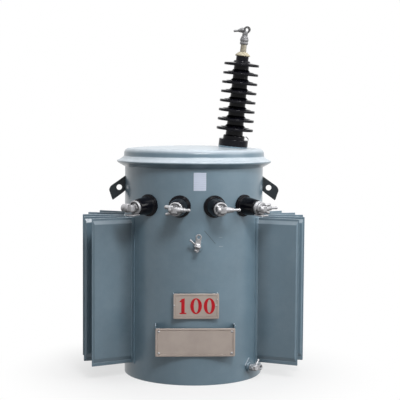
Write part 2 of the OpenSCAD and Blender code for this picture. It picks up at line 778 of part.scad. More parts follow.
// Two angles that stand a plate off the wall: a face behind the plate and a web on the tank
module plate_brackets(w, h, z, rise = 0) {
    for (side = [-1, 1]) difference() {
        translate([plate_x, plate_y, z]) {
            translate([side * (w / 2 - bracket_w / 2) - bracket_w / 2, 0, 0])
                cube([bracket_w, bracket_t, h]);
            translate([side * (w / 2 - bracket_t / 2) - bracket_t / 2, 0, 0])
                cube([bracket_t, tank_r, h + rise]);
        }
        tank_body();
    }
}

module nameplate() { color(plate_metal) bordered_plate(name_w, name_h, name_z); }
module nameplate_brackets() {
    color(tank_grey) plate_brackets(name_w, name_h, name_z, bracket_rise);
}
module rating_plate() { color(plate_metal) bordered_plate(rating_w, rating_h, rating_z); }
module rating_plate_brackets() { color(tank_grey) plate_brackets(rating_w, rating_h, rating_z); }

module ground_pad(az, z) {
    color(tank_grey) difference() {
        on_wall(az, z) translate([0, 0, -ground_pad_t])
            cylinder(h = 2 * ground_pad_t, r = ground_pad_d / 2);
        tank_body();
    }
}

// Axis of a ground connector's screw, square to its stud
module on_ground_screw(az, z, turn) {
    on_wall(az, z, ground_end_r + ground_eye_stand) rotate([0, 0, turn + screw_turn])
        rotate([0, 90, 0]) children();
}

// One eyebolt connector: a hexagonal body on the pad, a neck that widens to a flat eye and a
// short tail on the other side
module ground_connector(az, z, turn) {
    eye_r = ground_eye_bore / 2 + ground_eye_wall;
    neck_r = ground_body_d / 2 * cos(30);
    tail_r = ground_tail_d / 2;
    eye_back = ground_eye_stand - ground_eye_t / 2;
    color(tinned) difference() {
        on_wall(az, z, ground_end_r) rotate([0, 0, turn]) union() {
            cylinder(h = ground_body_len, r = ground_body_d / 2, $fn = 6);
            translate([0, 0, eye_back]) linear_extrude(ground_eye_t)
                polygon([[-tail_r, -ground_tail_out], [tail_r, -ground_tail_out], [neck_r, 0],
                         [eye_r, ground_eye_out], [-eye_r, ground_eye_out], [-neck_r, 0]]);
            translate([0, ground_eye_out, eye_back]) cylinder(h = ground_eye_t, r = eye_r);
            translate([0, -ground_tail_out, eye_back]) cylinder(h = ground_eye_t, r = tail_r);
        }
        on_wall(az, z, ground_end_r) rotate([0, 0, turn]) translate([0, ground_eye_out, 0])
            cylinder(h = 2 * ground_body_len, r = ground_eye_bore / 2);
        on_ground_screw(az, z, turn) translate([0, 0, ground_body_d / 4])
            cylinder(h = 2 * ground_body_d, r = ground_screw_d / 2 + fit);
    }
}

module front_ground_pad() { ground_pad(front_ground_az, front_ground_z); }
module front_ground_connector() {
    ground_connector(front_ground_az, front_ground_z, front_turn);
}
module base_ground_connector() { ground_connector(base_ground_az, base_ground_z, base_turn); }

// The pad by the base has a flat gusset above it, which tapers to a point
module base_ground_pad() {
    foot = ground_pad_d / 4;
    ground_pad(base_ground_az, base_ground_z);
    color(tank_grey) difference() {
        on_wall(base_ground_az, base_ground_z) translate([0, 0, -ground_pad_t])
            linear_extrude(ground_pad_t + gusset_t)
                polygon([[-gusset_w / 2, foot], [gusset_w / 2, foot], [0, foot + gusset_h]]);
        tank_body();
    }
}

module ground_clamp_screws() {
    inside = ground_body_d / 4;
    color(tinned) for (g = [[front_ground_az, front_ground_z, front_turn],
                            [base_ground_az, base_ground_z, base_turn]])
        on_ground_screw(g[0], g[1], g[2]) translate([0, 0, inside])
            cylinder(h = inside + ground_screw_len, r = ground_screw_d / 2);
}

tank_wall();
tank_bottom();
cover();
cover_gasket();
cover_band();
cover_band_bolt();
hv_bushing_pad();
hv_bushing_clamp();
hv_bushing();
hv_terminal_cap();
hv_stud();
hv_connector();
hv_clamp_screw();
for (i = [1:4]) {
    lv_bushing(i);
    lv_terminal(i);
}
lv_clamp_screws();
for (i = [1:panel_n]) {
    radiator_panel(-1, i);
    radiator_panel(1, i);
}
lifting_lug(-1);  // lifting_lug_left
lifting_lug(1);  // lifting_lug_right
hanger(tank_h - hanger_down);  // hanger_upper
hanger(hanger_z);  // hanger_lower
nameplate_brackets();
nameplate();
rating_plate_brackets();
rating_plate();
front_ground_pad();
front_ground_connector();
base_ground_pad();
base_ground_connector();
ground_clamp_screws();
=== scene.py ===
import bmesh
import bpy
import numpy as np
from mathutils import Matrix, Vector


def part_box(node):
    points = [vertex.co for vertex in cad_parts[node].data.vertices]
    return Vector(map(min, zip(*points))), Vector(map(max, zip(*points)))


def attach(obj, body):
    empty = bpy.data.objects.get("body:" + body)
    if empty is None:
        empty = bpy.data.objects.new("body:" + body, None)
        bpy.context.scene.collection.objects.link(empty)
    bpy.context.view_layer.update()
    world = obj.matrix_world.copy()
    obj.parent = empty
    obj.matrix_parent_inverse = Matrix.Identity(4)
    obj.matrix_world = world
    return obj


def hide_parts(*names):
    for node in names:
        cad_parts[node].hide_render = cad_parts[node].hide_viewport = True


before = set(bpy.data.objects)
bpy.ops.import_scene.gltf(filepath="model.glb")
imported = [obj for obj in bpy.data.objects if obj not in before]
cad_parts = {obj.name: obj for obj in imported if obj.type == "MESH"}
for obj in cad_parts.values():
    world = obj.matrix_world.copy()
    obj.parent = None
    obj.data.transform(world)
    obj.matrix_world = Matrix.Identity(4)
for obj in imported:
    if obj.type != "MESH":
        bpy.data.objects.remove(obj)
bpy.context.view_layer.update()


# Tank wall
# Steel sheet rolled into a drum, welded down its back and turned out into a flange at the top.
# It is sprayed with a satin blue-grey enamel that keeps a slight orange peel.
def node_box(node):
    """The lowest and the highest corner of a CAD node, in millimetres."""
    return np.round(1000 * np.array(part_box(node)), 2)


TANK_R = 260.0
WALL_INSIDE = 256.0
FLANGE_R, FLANGE_Z = node_box("tank_wall")[1, [0, 2]]
DRUM_STEPS = 288


def full_turn(steps):
    """Angles spread evenly over one turn."""
    return np.linspace(0, 2 * np.pi, steps, endpoint=False)


def around(profile, steps, sides=0):
    """A turned shape: each (radius, height) of the profile is swept once round the Z axis. With
    sides, the radius is the one to a corner of that many flats, so the shape is a prism."""
    angle = full_turn(steps)
    flat = 1.0
    if sides:
        half = np.pi / sides
        flat = np.cos(half) / np.cos((angle % (2 * half)) - half)
    r, z = np.asarray(profile, float).T[..., None]
    return np.stack([r * flat * np.cos(angle), r * flat * np.sin(angle), z + 0 * angle], -1)


def eased(corners, reach, steps=6, closed=False):
    """A polyline with rounded corners: by each corner the line follows the parabola that touches
    both of its sides at the given reach, or at 45 percent of a side that is shorter."""
    p = np.asarray(corners, float)
    t = np.array(np.broadcast_to(reach, len(p)), float)
    if not closed:
        t[[0, -1]] = 0

    def along(v):
        """Each side's vector, cut to the reach at its corner."""
        length = np.maximum(np.linalg.norm(v, axis=-1), 1e-9)
        return v / length[:, None] * np.minimum(t, 0.45 * length)[:, None]

    s = np.linspace(0, 1, steps)[None, :, None]
    a = (p + along(np.roll(p, 1, 0) - p))[:, None]
    b = (p + along(np.roll(p, -1, 0) - p))[:, None]
    return ((1 - s) ** 2 * a + 2 * s * (1 - s) * p[:, None] + s**2 * b).reshape(-1, p.shape[1])


def run_along(line):
    """The distance from a polyline's start to each of its points, along the line."""
    return np.concatenate([[0], np.cumsum(np.linalg.norm(np.diff(line, axis=0), axis=1))])


def dense(line, step):
    """The same polyline with extra points, so that no two are further apart than the step."""
    p = np.asarray(line, float)
    run = run_along(p)
    at = np.union1d(run, np.linspace(0, run[-1], int(run[-1] / step) + 2))
    return np.stack([np.interp(at, run, p[:, k]) for k in range(p.shape[1])], -1)


MERGE = 2e-6
CREASE = 35.0


def formed(name, *grids):
    """One mesh from grids of points in millimetres. Four neighbouring points make a face, each row
    closes on itself, points within the merging distance in metres become one, which closes poles
    and rings, and the faces are turned outwards. Edges that turn by more than the crease angle in
    degrees stay sharp."""
    faces, start = [], 0
    for grid in grids:
        index = start + np.arange(grid.shape[0] * grid.shape[1]).reshape(grid.shape[:2])
        near, far = index[:-1], index[1:]
        quads = np.stack([near, far, np.roll(far, -1, 1), np.roll(near, -1, 1)], -1)
        faces.append(quads.reshape(-1, 4))
        start += index.size
    points = np.concatenate([grid.reshape(-1, 3) for grid in grids]) / 1000
    mesh = bpy.data.meshes.new(name)
    mesh.from_pydata(points.tolist(), [], np.concatenate(faces).tolist())
    work = bmesh.new()
    work.from_mesh(mesh)
    bmesh.ops.remove_doubles(work, verts=work.verts, dist=MERGE)
    bmesh.ops.recalc_face_normals(work, faces=work.faces)
    work.to_mesh(mesh)
    work.free()
    mesh.polygons.foreach_set("use_smooth", np.ones(len(mesh.polygons), bool))
    mesh.set_sharp_from_angle(angle=np.radians(CREASE))
    piece = bpy.data.objects.new(name, mesh)
    bpy.context.collection.objects.link(piece)
    return piece


def fitted(piece, finish, slot, *nodes):
    """Gives a piece its finish, lets it stand for CAD nodes and fixes it to the tank. The slot is not used.
    """
    piece.data.materials.clear()
    piece.data.materials.append(finish)
    if nodes:
        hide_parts(*nodes)
    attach(piece, "root")


class Tone:
    """A socket in a finish's nodes. Arithmetic on it adds Math nodes."""

    def __init__(self, tree, socket=None):
        self.tree, self.socket = tree, socket

    def node(self, kind, settings=None, inputs=None, output=0):
        """Adds a node: its settings come first, then the values or links of its sockets."""
        made = self.tree.nodes.new(kind)
        for key, value in (settings or {}).items():
            setattr(made, key, value)
        for key, value in (inputs or {}).items():
            if isinstance(value, Tone):
                self.tree.links.new(value.socket, made.inputs[key])
            else:
                made.inputs[key].default_value = value
        return Tone(self.tree, made.outputs[output])

    def into(self, shader, name):
        """Links this to a named socket of a shader."""
        self.tree.links.new(self.socket, shader.inputs[name])

    def maths(self, operation, *values):
        """A Math node on the values in their order."""
        return self.node("ShaderNodeMath", {"operation": operation}, dict(enumerate(values)))

    def __add__(self, other):
        return self.maths("ADD", self, other)

    def __sub__(self, other):
        return self.maths("SUBTRACT", self, other)

    def __rsub__(self, other):
        return self.maths("SUBTRACT", other, self)

    def __mul__(self, other):
        return self.maths("MULTIPLY", self, other)

    __radd__, __rmul__ = __add__, __mul__

    def noise(self, scale, detail=3.0, roughness=0.55):
        """Noise at these coordinates, with the scale in waves to the metre."""
        return self.node("ShaderNodeTexNoise", None,
                         {"Vector": self, "Scale": scale, "Detail": detail, "Roughness": roughness})

    def between(self, low, high):
        """0 below low, 1 above high, and a smooth step between."""
        return self.node("ShaderNodeMapRange", {"interpolation_type": "SMOOTHSTEP"},
                         {"Value": self, "From Min": low, "From Max": high})

    def mixed(self, first, second):
        """The first colour where this is 0 and the second where it is 1. Each is red, green and blue,
        or a colour from other nodes. A Mix node has its colours at inputs 6 and 7 and output 2."""
        first, second = (c if isinstance(c, Tone) else (*c, 1) for c in (first, second))
        return self.node("ShaderNodeMix", {"data_type": "RGBA"}, {0: self, 6: first, 7: second}, 2)

    def bump(self, strength, distance):
        """The normal over this height."""
        return self.node("ShaderNodeBump", None,
                         {"Height": self, "Strength": strength, "Distance": distance})

    def stretched(self, x, y, z):
        """These coordinates scaled along each axis."""
        return self.node("ShaderNodeMapping", None, {"Vector": self, "Scale": (x, y, z)})

    def part(self, axis):
        """One component of this vector, 0 to 2 for X to Z."""
        return self.node("ShaderNodeSeparateXYZ", None, {0: self}, axis)

    def length(self):
        """The length of this vector."""
        return self.node("ShaderNodeVectorMath", {"operation": "LENGTH"}, {0: self}, "Value")

    def upward(self):
        """How far the face looks up, from -1 to 1."""
        return self.node("ShaderNodeNewGeometry", output="Normal").part(2)


def new_finish(name, **constants):
    """A finish with its shader's constant sockets set: gives the material, the shader and its Object
    coordinates."""
    made = bpy.data.materials.new(name)
    made.use_nodes = True
    shader = made.node_tree.nodes["Principled BSDF"]
    for key, value in constants.items():
        shader.inputs[key.replace("_", " ")].default_value = value
    return made, shader, Tone(made.node_tree).node("ShaderNodeTexCoord", output="Object")


BLUE_GREY, BLUE_GREY_SHADE = (0.143, 0.222, 0.280), (0.120, 0.188, 0.238)
# A pale tone for dust and for painted light on faces that look up.
PALE_DUST_AND_LIGHT = (0.56, 0.63, 0.69)
# A dark tone painted as shade near the drum, and the radii in metres where it starts and fades out.
ROOT_SHADE = (0.03, 0.045, 0.055)
ROOT_SHADE_STARTS, ROOT_SHADE_ENDS = (0.2637, 0.265), (0.266, 0.33)


def enamel(name, colour, shade, dust_and_light_tone, coat, top_dust_and_light, root_shade=0.0):
    """Sprayed enamel: a broad mottle between two close tones, faint upright runs, dust and painted light
    that thicken on level faces, painted shade that thins out from the drum over radii in metres, a
    roughness that drifts, and orange peel about 3 mm across."""
    made, shader, at = new_finish(name, Specular_IOR_Level=0.25, Coat_Weight=coat, Coat_Roughness=0.28)
    mottle = at.noise(5.0, 5.0, 0.6).between(0.32, 0.7)
    runs = at.stretched(38, 38, 1.6).noise(1.0, 3.0).between(0.5, 0.78)
    grains = at.noise(900.0, 2.0)
    level = at.upward().between(0.1, 0.8)
    tone = (mottle * 0.75 + runs * 0.22).mixed(colour, shade)
    # Painted shade: the tone darkens just outside the drum and fades out further along the fins.
    if root_shade:
        far = at.stretched(1, 1, 0).length()
        near = far.between(*ROOT_SHADE_STARTS) * (1 - far.between(*ROOT_SHADE_ENDS))
        tone = (near * root_shade).mixed(tone, ROOT_SHADE)
    drift = at.noise(16.0, 6.0, 0.7).between(0.35, 0.75)
    # Dust in drifts everywhere, and on faces that look up a pale tone that is partly dust and partly
    # painted light from above.
    dust_and_top_light = drift * 0.05 + level * (drift * 0.15 + top_dust_and_light)
    peel = at.noise(310.0, 2.0) + at.noise(34.0, 2.0) * 0.9
    (dust_and_top_light + grains * 0.04).mixed(tone, dust_and_light_tone).into(shader, "Base Color")
    (at.noise(11.0, 4.0) * 0.16 + grains * 0.06 + dust_and_top_light * 0.25 + 0.30).into(shader, "Roughness")
    peel.bump(0.12, 0.0007).into(shader, "Normal")
    return made


tank_paint = enamel("blue_grey_enamel", BLUE_GREY, BLUE_GREY_SHADE, PALE_DUST_AND_LIGHT, 0.8, 0.8)
wall_line = eased([(WALL_INSIDE, 0), (TANK_R, 0), (TANK_R, FLANGE_Z - 15), (FLANGE_R, FLANGE_Z - 2),
                   (FLANGE_R, FLANGE_Z), (WALL_INSIDE, FLANGE_Z), (WALL_INSIDE, 0)],
                  [0, 1.2, 5, 1, 0.5, 0, 0])
wall = around(dense(wall_line, 14), DRUM_STEPS)
turn = np.arctan2(wall[..., 1], wall[..., 0])
swell = 0.22 * np.sin(3 * turn + wall[..., 2] / 170) + 0.16 * np.sin(7 * turn - wall[..., 2] / 95)
swell *= np.sin(np.pi * np.clip(wall[..., 2] / FLANGE_Z, 0, 1))
wall[..., :2] *= (1 + swell / TANK_R)[..., None]
fitted(formed("tank_drum", wall), tank_paint, "tank_paint", "tank_wall")


# Bottom plate and the back seam
# A flat disc welded inside the foot of the drum, and the long weld that closes the rolled sheet,
# which runs down the back beside the hangers as a low rippled bead under the paint.
fitted(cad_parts["tank_bottom"], tank_paint, "tank_paint")


def outward(angle):
    """The frame of a place on the drum: sideways, up and straight out, for an angle from the front."""
    a = np.radians(angle)
    return np.array([[np.cos(a), 0, np.sin(a)], [np.sin(a), 0, -np.cos(a)], [0, 1, 0]])


def on_drum(points, angle, height, radius=TANK_R):
    """Carries points drawn sideways, up and out to their place on the drum's wall."""
    axes = outward(angle)
    return points @ axes.T + axes[:, 2] * radius + np.array([0, 0, height])


def unit(v):
    """Vectors of the same directions and of length 1."""
    return v / np.linalg.norm(v, axis=-1, keepdims=True)


def bead(path, radius, pitch, steps=10, seed=0.0):
    """A weld bead: a tube round the path whose radius swells and shrinks once for each puddle of the
    pitch, with both ends drawn to a point."""
    p = dense(path, pitch / 5)
    run = run_along(p)
    ahead = unit(np.gradient(p, axis=0))
    side = unit(np.cross(ahead, np.where(np.abs(ahead[:, 2:]) > 0.9, [[1.0, 0, 0]], [[0, 0, 1.0]])))
    over = np.cross(side, ahead)
    angle = full_turn(steps)[:, None]
    ends = np.sqrt(np.clip(np.minimum(run, run[-1] - run) / (2 * radius), 0, 1))
    ripple = 1 + 0.10 * np.sin(2 * np.pi * run / pitch) + 0.07 * np.sin(run / 7.3 + seed)
    ring = np.cos(angle) * side[:, None] + np.sin(angle) * over[:, None]
    return p[:, None] + (radius * ends * ripple)[:, None, None] * ring


SEAM_ANGLE = 150
SEAM_LOW, SEAM_TOP = 6.0, 770.0
SEAM_SUNK = 1.2
seam_path = on_drum(np.array([[0, SEAM_LOW, -SEAM_SUNK], [0, SEAM_TOP, -SEAM_SUNK]]), SEAM_ANGLE, 0)
fitted(formed("tank_back_seam", bead(seam_path, 3.0, 5.0)), tank_paint, "tank_paint")


# Cover
# A pressed steel lid with a rounded shoulder and a shallow crown, painted like the tank. Its own
# flange lies on the gasket. The crown keeps the gentle waves of the pressing.
COVER_SEAT, COVER_TOP = node_box("cover")[:, 2]
COVER_R = 264.0
COVER_SHEET = 4.0
SHOULDER = 20.0
CROWN = 10.0
CROWN_R = COVER_R - SHOULDER
SHOULDER_Z = COVER_TOP - CROWN - SHOULDER


def arc(radius, first, last, count, centre=(0, 0)):
    """Points on a circle about a centre, from one angle to another in degrees."""
    a = np.radians(np.linspace(first, last, count))
    return radius * np.stack([np.cos(a), np.sin(a)], -1) + centre


crown_r = np.linspace(CROWN_R, 0, 40)
crown = np.stack([crown_r, COVER_TOP - CROWN * (crown_r / CROWN_R) ** 2], -1)
flange = eased([(WALL_INSIDE, COVER_SEAT), (FLANGE_R, COVER_SEAT), (FLANGE_R, COVER_SEAT + 6),
                (COVER_R, COVER_SEAT + 17), (COVER_R, SHOULDER_Z)], [0, 0.5, 1, 5, 0])
outside = np.concatenate([flange, arc(SHOULDER, 0, 90, 13, (CROWN_R, SHOULDER_Z)), crown])
inside = np.concatenate([[(0, COVER_TOP - COVER_SHEET)], crown[::-1][1:] - (0, COVER_SHEET),
                         [(CROWN_R + 7, SHOULDER_Z + 13), (COVER_R - 5, SHOULDER_Z + 1),
                          (COVER_R - 5, COVER_SEAT + COVER_SHEET)]])
lid = around(np.concatenate([inside, outside]), DRUM_STEPS)
turn = np.arctan2(lid[..., 1], lid[..., 0])
far = np.clip(np.hypot(lid[..., 0], lid[..., 1]) / CROWN_R, 0, 1)
waves = 0.4 * np.sin(2 * turn + 0.6) + 0.2 * np.sin(5 * turn)
lid[..., 2] += np.where(lid[..., 2] > SHOULDER_Z - 5, waves, 0) * far**2
fitted(formed("cover_pressing", lid), tank_paint, "tank_paint", "cover")


# Cover gasket
# A flat ring of black nitrile rubber and cork, nipped between the two flanges and hidden by the
# band except through the gap of its closing.
NITRILE, CORK = (0.018, 0.018, 0.019), (0.05, 0.048, 0.045)
rubber, shader, at = new_finish("gasket_rubber")
at.noise(70.0, 5.0).between(0.35, 0.7).mixed(NITRILE, CORK).into(shader, "Base Color")
(at.noise(260.0) * 0.2 + 0.68).into(shader, "Roughness")
fitted(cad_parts["cover_gasket"], rubber, "gasket")


# Clamping band
# A V of rolled sheet steel that wedges both flanges together. Its two welded ears stand out at
# the back, where one bolt draws them together.
BACK = 180
BAND_Z = node_box("cover_band")[:, 2].mean()
BAND_END = 178.25
EAR_APART = 12
BOLT_OUT = 43
# Orders of the axes that lay a shape drawn about Z along X or along Y.
ALONG_X, ALONG_Y = [2, 1, 0], [0, 2, 1]


def strung(section, angles):
    """A closed section of (radius, height) carried round the drum from one angle to another, in
    degrees from the front, with both ends closed on the section's middle."""
    a = np.radians(np.concatenate([angles[:1], angles, angles[-1:]]))
    hold = np.ones(len(a))
    hold[[0, -1]] = 0
    middle = section.mean(0)
    s = middle + hold[:, None, None] * (section - middle)
    return np.stack([s[..., 0] * np.sin(a)[:, None], -s[..., 0] * np.cos(a)[:, None], s[..., 1]], -1)


def raised(rings, level):
    """Gives each ring of points in the plane its own level as the third coordinate."""
    level = np.asarray(level, float)[:, None, None]
    return np.concatenate([rings, np.broadcast_to(level, (*rings.shape[:2], 1))], -1)


def slab(outline, bottom, top, bevel):
    """A flat plate: a closed outline, drawn anticlockwise, stands from bottom to top, is drawn in
    along its own normals by a rounded bevel at each face, and each face closes on the outline's
    middle."""
    o = np.asarray(outline, float)
    side = unit(np.roll(o, -1, 0) - np.roll(o, 1, 0))
    inward = np.stack([-side[:, 1], side[:, 0]], -1)
    a = np.radians(np.linspace(0, 90, 4))
    draw, rise = bevel * (1 - np.sin(a)), bevel * (1 - np.cos(a))
    draw = np.concatenate([draw, draw[::-1]])[:, None, None]
    middle = np.broadcast_to(o.mean(0), (1, *o.shape))
    level = np.concatenate([[bottom], bottom + rise, top - rise[::-1], [top]])
    return raised(np.concatenate([middle, o + inward * draw, middle]), level)


def oblong(width, height, corner, x=0.0, y=0.0):
    """The outline of a rectangle with rounded corners, anticlockwise about (x, y)."""
    w, h = width / 2, height / 2
    return eased([(-w, -h), (w, -h), (w, h), (-w, h)], corner, closed=True) + (x, y)


v_section = eased([(260.3, -20), (297, 0), (274, 10.5), (264.3, 20), (264.3, 16.5), (276, 5.5), (282.5, 0),
                   (276, -5.5), (260.3, -16.4)], [0.8, 19, 7, 0.8, 0.8, 4, 3, 4, 0.8], 11, True)
band = strung(v_section + (0, BAND_Z), np.linspace(-BAND_END, BAND_END, 321))
ear = slab(oblong(29, 20, 4, 32.5, 0), -4, 4, 1.2)[..., ALONG_X]
ears = [on_drum(ear + (side * EAR_APART, 0, 0), BACK, BAND_Z) for side in (-1, 1)]
fitted(formed("clamping_band", band, *ears), tank_paint, "tank_paint", "cover_band")

# A dark grey for grime and for painted shade on the castings.
GRIME_AND_SHADE = (0.07, 0.07, 0.07)


def casting(name, dull, bright, metal):
    """Tinned bronze as cast: blotches between two greys, grime in patches and painted shade on the
    undersides, both of which also dull the metal, and a fine grain."""
    made, shader, at = new_finish(name, Specular_IOR_Level=0.5)
    blotch = at.noise(120.0, 5.0, 0.65).between(0.3, 0.72)
    # Painted shade: faces that look down darken towards the dark grey, as if in shadow.
    underside_shade = 1 - at.upward().between(-0.5, 0.45)
    grime_and_shade = at.noise(46.0, 5.0, 0.6).between(0.52, 0.74) * 0.5 + underside_shade * 0.8
    tone = blotch.mixed((dull, dull, dull * 1.04), (bright, bright, bright * 1.03))
    grain = at.noise(420.0, 4.0) + at.noise(150.0) * 0.7
    (grime_and_shade * 0.85).mixed(tone, GRIME_AND_SHADE).into(shader, "Base Color")
    (grime_and_shade * -0.2 + metal).into(shader, "Metallic")
    (at.noise(210.0, 4.0) * 0.16 + grime_and_shade * 0.16 + 0.28).into(shader, "Roughness")
    grain.bump(0.28, 0.0006).into(shader, "Normal")
    return made


def threaded(r, z0, z1, pitch):
    """The profile of a screw's shank: the radius saws between crest and root once for each pitch."""
    z = np.linspace(z0, z1, max(int((z1 - z0) / pitch * 4), 2))
    saw = np.abs(((z - z0) / pitch) % 1 - 0.5) * 2
    return np.stack([r - 0.36 * pitch * saw, z], -1)


def hexagon(r, z0, z1):
    """The profile of a nut or bolt head, to its corners, with both ends chamfered."""
    c = 0.13 * r
    return np.array([(0, z0), (r - 2 * c, z0), (r, z0 + c), (r, z1 - c), (r - 2 * c, z1), (0, z1)])


tinned = casting("tinned_casting", 0.47, 0.63, 0.45)
shank = np.concatenate([[(0, -17)], threaded(5.9, -16, 27, 1.75), [(0, 28.5)]])
closing = [around(shank, 32), around(hexagon(10.5, -24, -16.2), 48, 6),
           around(hexagon(10.5, 16.2, 24), 48, 6)]
closing = [on_drum(g[..., ALONG_X] + (0, 0, BOLT_OUT), BACK, BAND_Z) for g in closing]
fitted(formed("band_bolt", *closing), tinned, "tinned_metal", "cover_band_bolt")


# High voltage bushing
# A black glazed insulator with eight thin sheds on a tapering core, leaning outwards. Its foot is
# held on a sloping welded pad by a black cast ring, with a thin strap down over the ring.
def spin(axis, degrees):
    """The matrix that turns about one axis, 0 to 2 for X to Z."""
    a = np.radians(degrees)
    m = np.eye(3)
    i, j = [(1, 2), (2, 0), (0, 1)][axis]
    m[[i, j], [i, j]], m[i, j], m[j, i] = np.cos(a), -np.sin(a), np.sin(a)
    return m


HV_ANGLE, HV_LEAN = -30, 6.2
HV_OUT, HV_SEAT = 162, 858.0
HV_TURN = spin(2, HV_ANGLE) @ spin(1, HV_LEAN)
HV_FOOT = spin(2, HV_ANGLE) @ np.array([HV_OUT, 0, HV_SEAT])
NECK_R, NECK_Z = 23, 331.3
CORE_R, CORE_TAPER, CORE_LONG = 32.5, 5, 298.3
SHEDS = 8
SHED_LOW, SHED_PITCH = 59.9, 33.9
SHED_WIDE, SHED_TAPER = 136, 7


def on_bushing(points, height=0.0):
    """Carries points drawn about a Z axis to the leaning axis of the high voltage bushing."""
    return (points + np.array([0, 0, height])) @ HV_TURN.T + HV_FOOT


fitted(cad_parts["hv_bushing_pad"], tank_paint, "tank_paint")

JET, JET_SPECK, HAZE = (0.0040, 0.0040, 0.0065), (0.007, 0.007, 0.010), (0.016, 0.016, 0.021)
glaze, shader, at = new_finish("black_glaze", Specular_IOR_Level=0.14)
speck = at.noise(60.0, 4.0).between(0.45, 0.75)
haze = at.noise(9.0, 5.0, 0.65).between(0.45, 0.8)
(haze * 0.4).mixed(speck.mixed(JET, JET_SPECK), HAZE).into(shader, "Base Color")
(haze * 0.14 + at.noise(140.0) * 0.05 + 0.10).into(shader, "Roughness")
at.noise(75.0, 2.0).bump(0.05, 0.001).into(shader, "Normal")

ring = eased([(44.3, 0), (54, 0), (54, 25), (40.3, 25), (40.3, 21.3), (44.3, 21.3)],
             [0.4, 1.5, 3.2, 2.5, 0.6, 0.4], 6, True)
ring = around(np.concatenate([ring, ring[:1]]), 128)
fitted(formed("bushing_ring", on_bushing(ring)), glaze, "black_porcelain", "hv_bushing_clamp")


def shed(i):
    """The outline of one shed from the core below it to the core above: level underside with a drip
    edge, rounded rim, a top that rises to a step, and the sweep back into the core, or for the top
    shed into the neck."""
    z = SHED_LOW + SHED_PITCH * i
    rim = (SHED_WIDE - SHED_TAPER * i / (SHEDS - 1)) / 2
    below = CORE_R - CORE_TAPER * z / CORE_LONG
    above = CORE_R - CORE_TAPER * (z + 15) / CORE_LONG
    crown = [(above + 22, z + 9), (above + 20.5, z + 11), (above + 7, z + 12.6), (above, z + 19.5)]
    if i == SHEDS - 1:
        crown = [(NECK_R + 17, z + 10.5), (NECK_R + 8, z + 12), (NECK_R + 6.5, z + 17), (NECK_R, z + 19)]
    corners = [(below, z - 5), (below, z), (rim - 8, z), (rim - 6.5, z - 1.6), (rim, z - 1.6),
               (rim, z + 7.6), *crown]
    return eased(corners, [1, 2.5, 1, 0.6, 2.6, 3, 2, 2, 4, 2], 7)


foot = eased([(0, 0), (44, 0), (44, 21), (40, 21), (40, 39.5), (32.2, 40.5), (32, 50)],
             [0, 1, 1, 1, 7.5, 1.5, 0])
neck = eased([(NECK_R, NECK_Z - 5.3), (NECK_R, NECK_Z), (0, NECK_Z)], [0, 1, 0])
insulator = around(np.concatenate([foot, *[shed(i) for i in range(SHEDS)], neck]), 128)
fitted(formed("shedded_insulator", on_bushing(insulator)), glaze, "black_porcelain", "hv_bushing")

strap_path = np.array([[33.0, 19, 37], [40, 23, 37.5], [46, 26.5, 32], [47.5, 27.4, 22]])
strap = bead(on_bushing(strap_path), 1.3, 50, 8)
fitted(formed("bushing_strap", strap), glaze, "black_porcelain")


# High voltage terminal
# A pale moulded cap on the insulator's neck, a dull bronze stud through it, and a weathered tinned
# connector on the stud with a ringed eight-sided socket, an eye for the line wire and a screw with
# a tapering nut.
CONNECTOR_Z = NECK_Z + 42
PALE, PALE_STAIN = (0.52, 0.47, 0.34), (0.41, 0.36, 0.25)
pale, shader, at = new_finish("pale_moulding", Specular_IOR_Level=0.4)
stain = at.noise(70.0, 5.0, 0.6).between(0.4, 0.75)
stain.mixed(PALE, PALE_STAIN).into(shader, "Base Color")
(at.noise(300.0) * 0.15 + 0.42).into(shader, "Roughness")
at.noise(320.0, 3.0).bump(0.12, 0.0005).into(shader, "Normal")
cap = eased([(11.8, 0), (27, 0), (28, 4), (15, 15), (11.8, 15), (11.8, 0)], [0, 1.5, 2.5, 2, 0.5, 0])
cap = formed("terminal_cap", on_bushing(around(cap, 96), NECK_Z))
fitted(cap, pale, "terminal_cap", "hv_terminal_cap")

BRONZE, BRONZE_TARNISH = (0.33, 0.30, 0.235), (0.22, 0.20, 0.155)
bronze, shader, at = new_finish("dull_bronze")
tarnish = at.noise(90.0, 5.0, 0.65).between(0.35, 0.72)
tarnish.mixed(BRONZE, BRONZE_TARNISH).into(shader, "Base Color")
(0.5 - tarnish * 0.2).into(shader, "Metallic")
(tarnish * 0.2 + 0.36).into(shader, "Roughness")
at.noise(380.0, 3.0).bump(0.15, 0.0004).into(shader, "Normal")
stud = around([(0, 0), (11.5, 0), (11.4, 20), (10.9, 42), (10.9, 55), (0, 55)], 64)
fitted(formed("terminal_stud", on_bushing(stud, NECK_Z)), bronze, "bronze_stud", "hv_stud")


def rim_of(outline, centre, angles):
    """How far a closed outline lies from a point inside it, along rays at the given angles: the
    nearest crossing of each ray with the outline's edges."""
    a = np.asarray(outline, float) - centre
    edge = np.roll(a, -1, 0) - a
    ray = np.stack([np.cos(angles), np.sin(angles)], -1)[:, None]
    cross = ray[..., 0] * edge[:, 1] - ray[..., 1] * edge[:, 0]
    cross = np.where(np.abs(cross) < 1e-12, 1e-12, cross)
    far = (a[:, 0] * edge[:, 1] - a[:, 1] * edge[:, 0]) / cross
    on = (a[:, 0] * ray[..., 1] - a[:, 1] * ray[..., 0]) / cross
    return np.where((far > 0) & (on >= -1e-9) & (on <= 1 + 1e-9), far, 1e9).min(1)


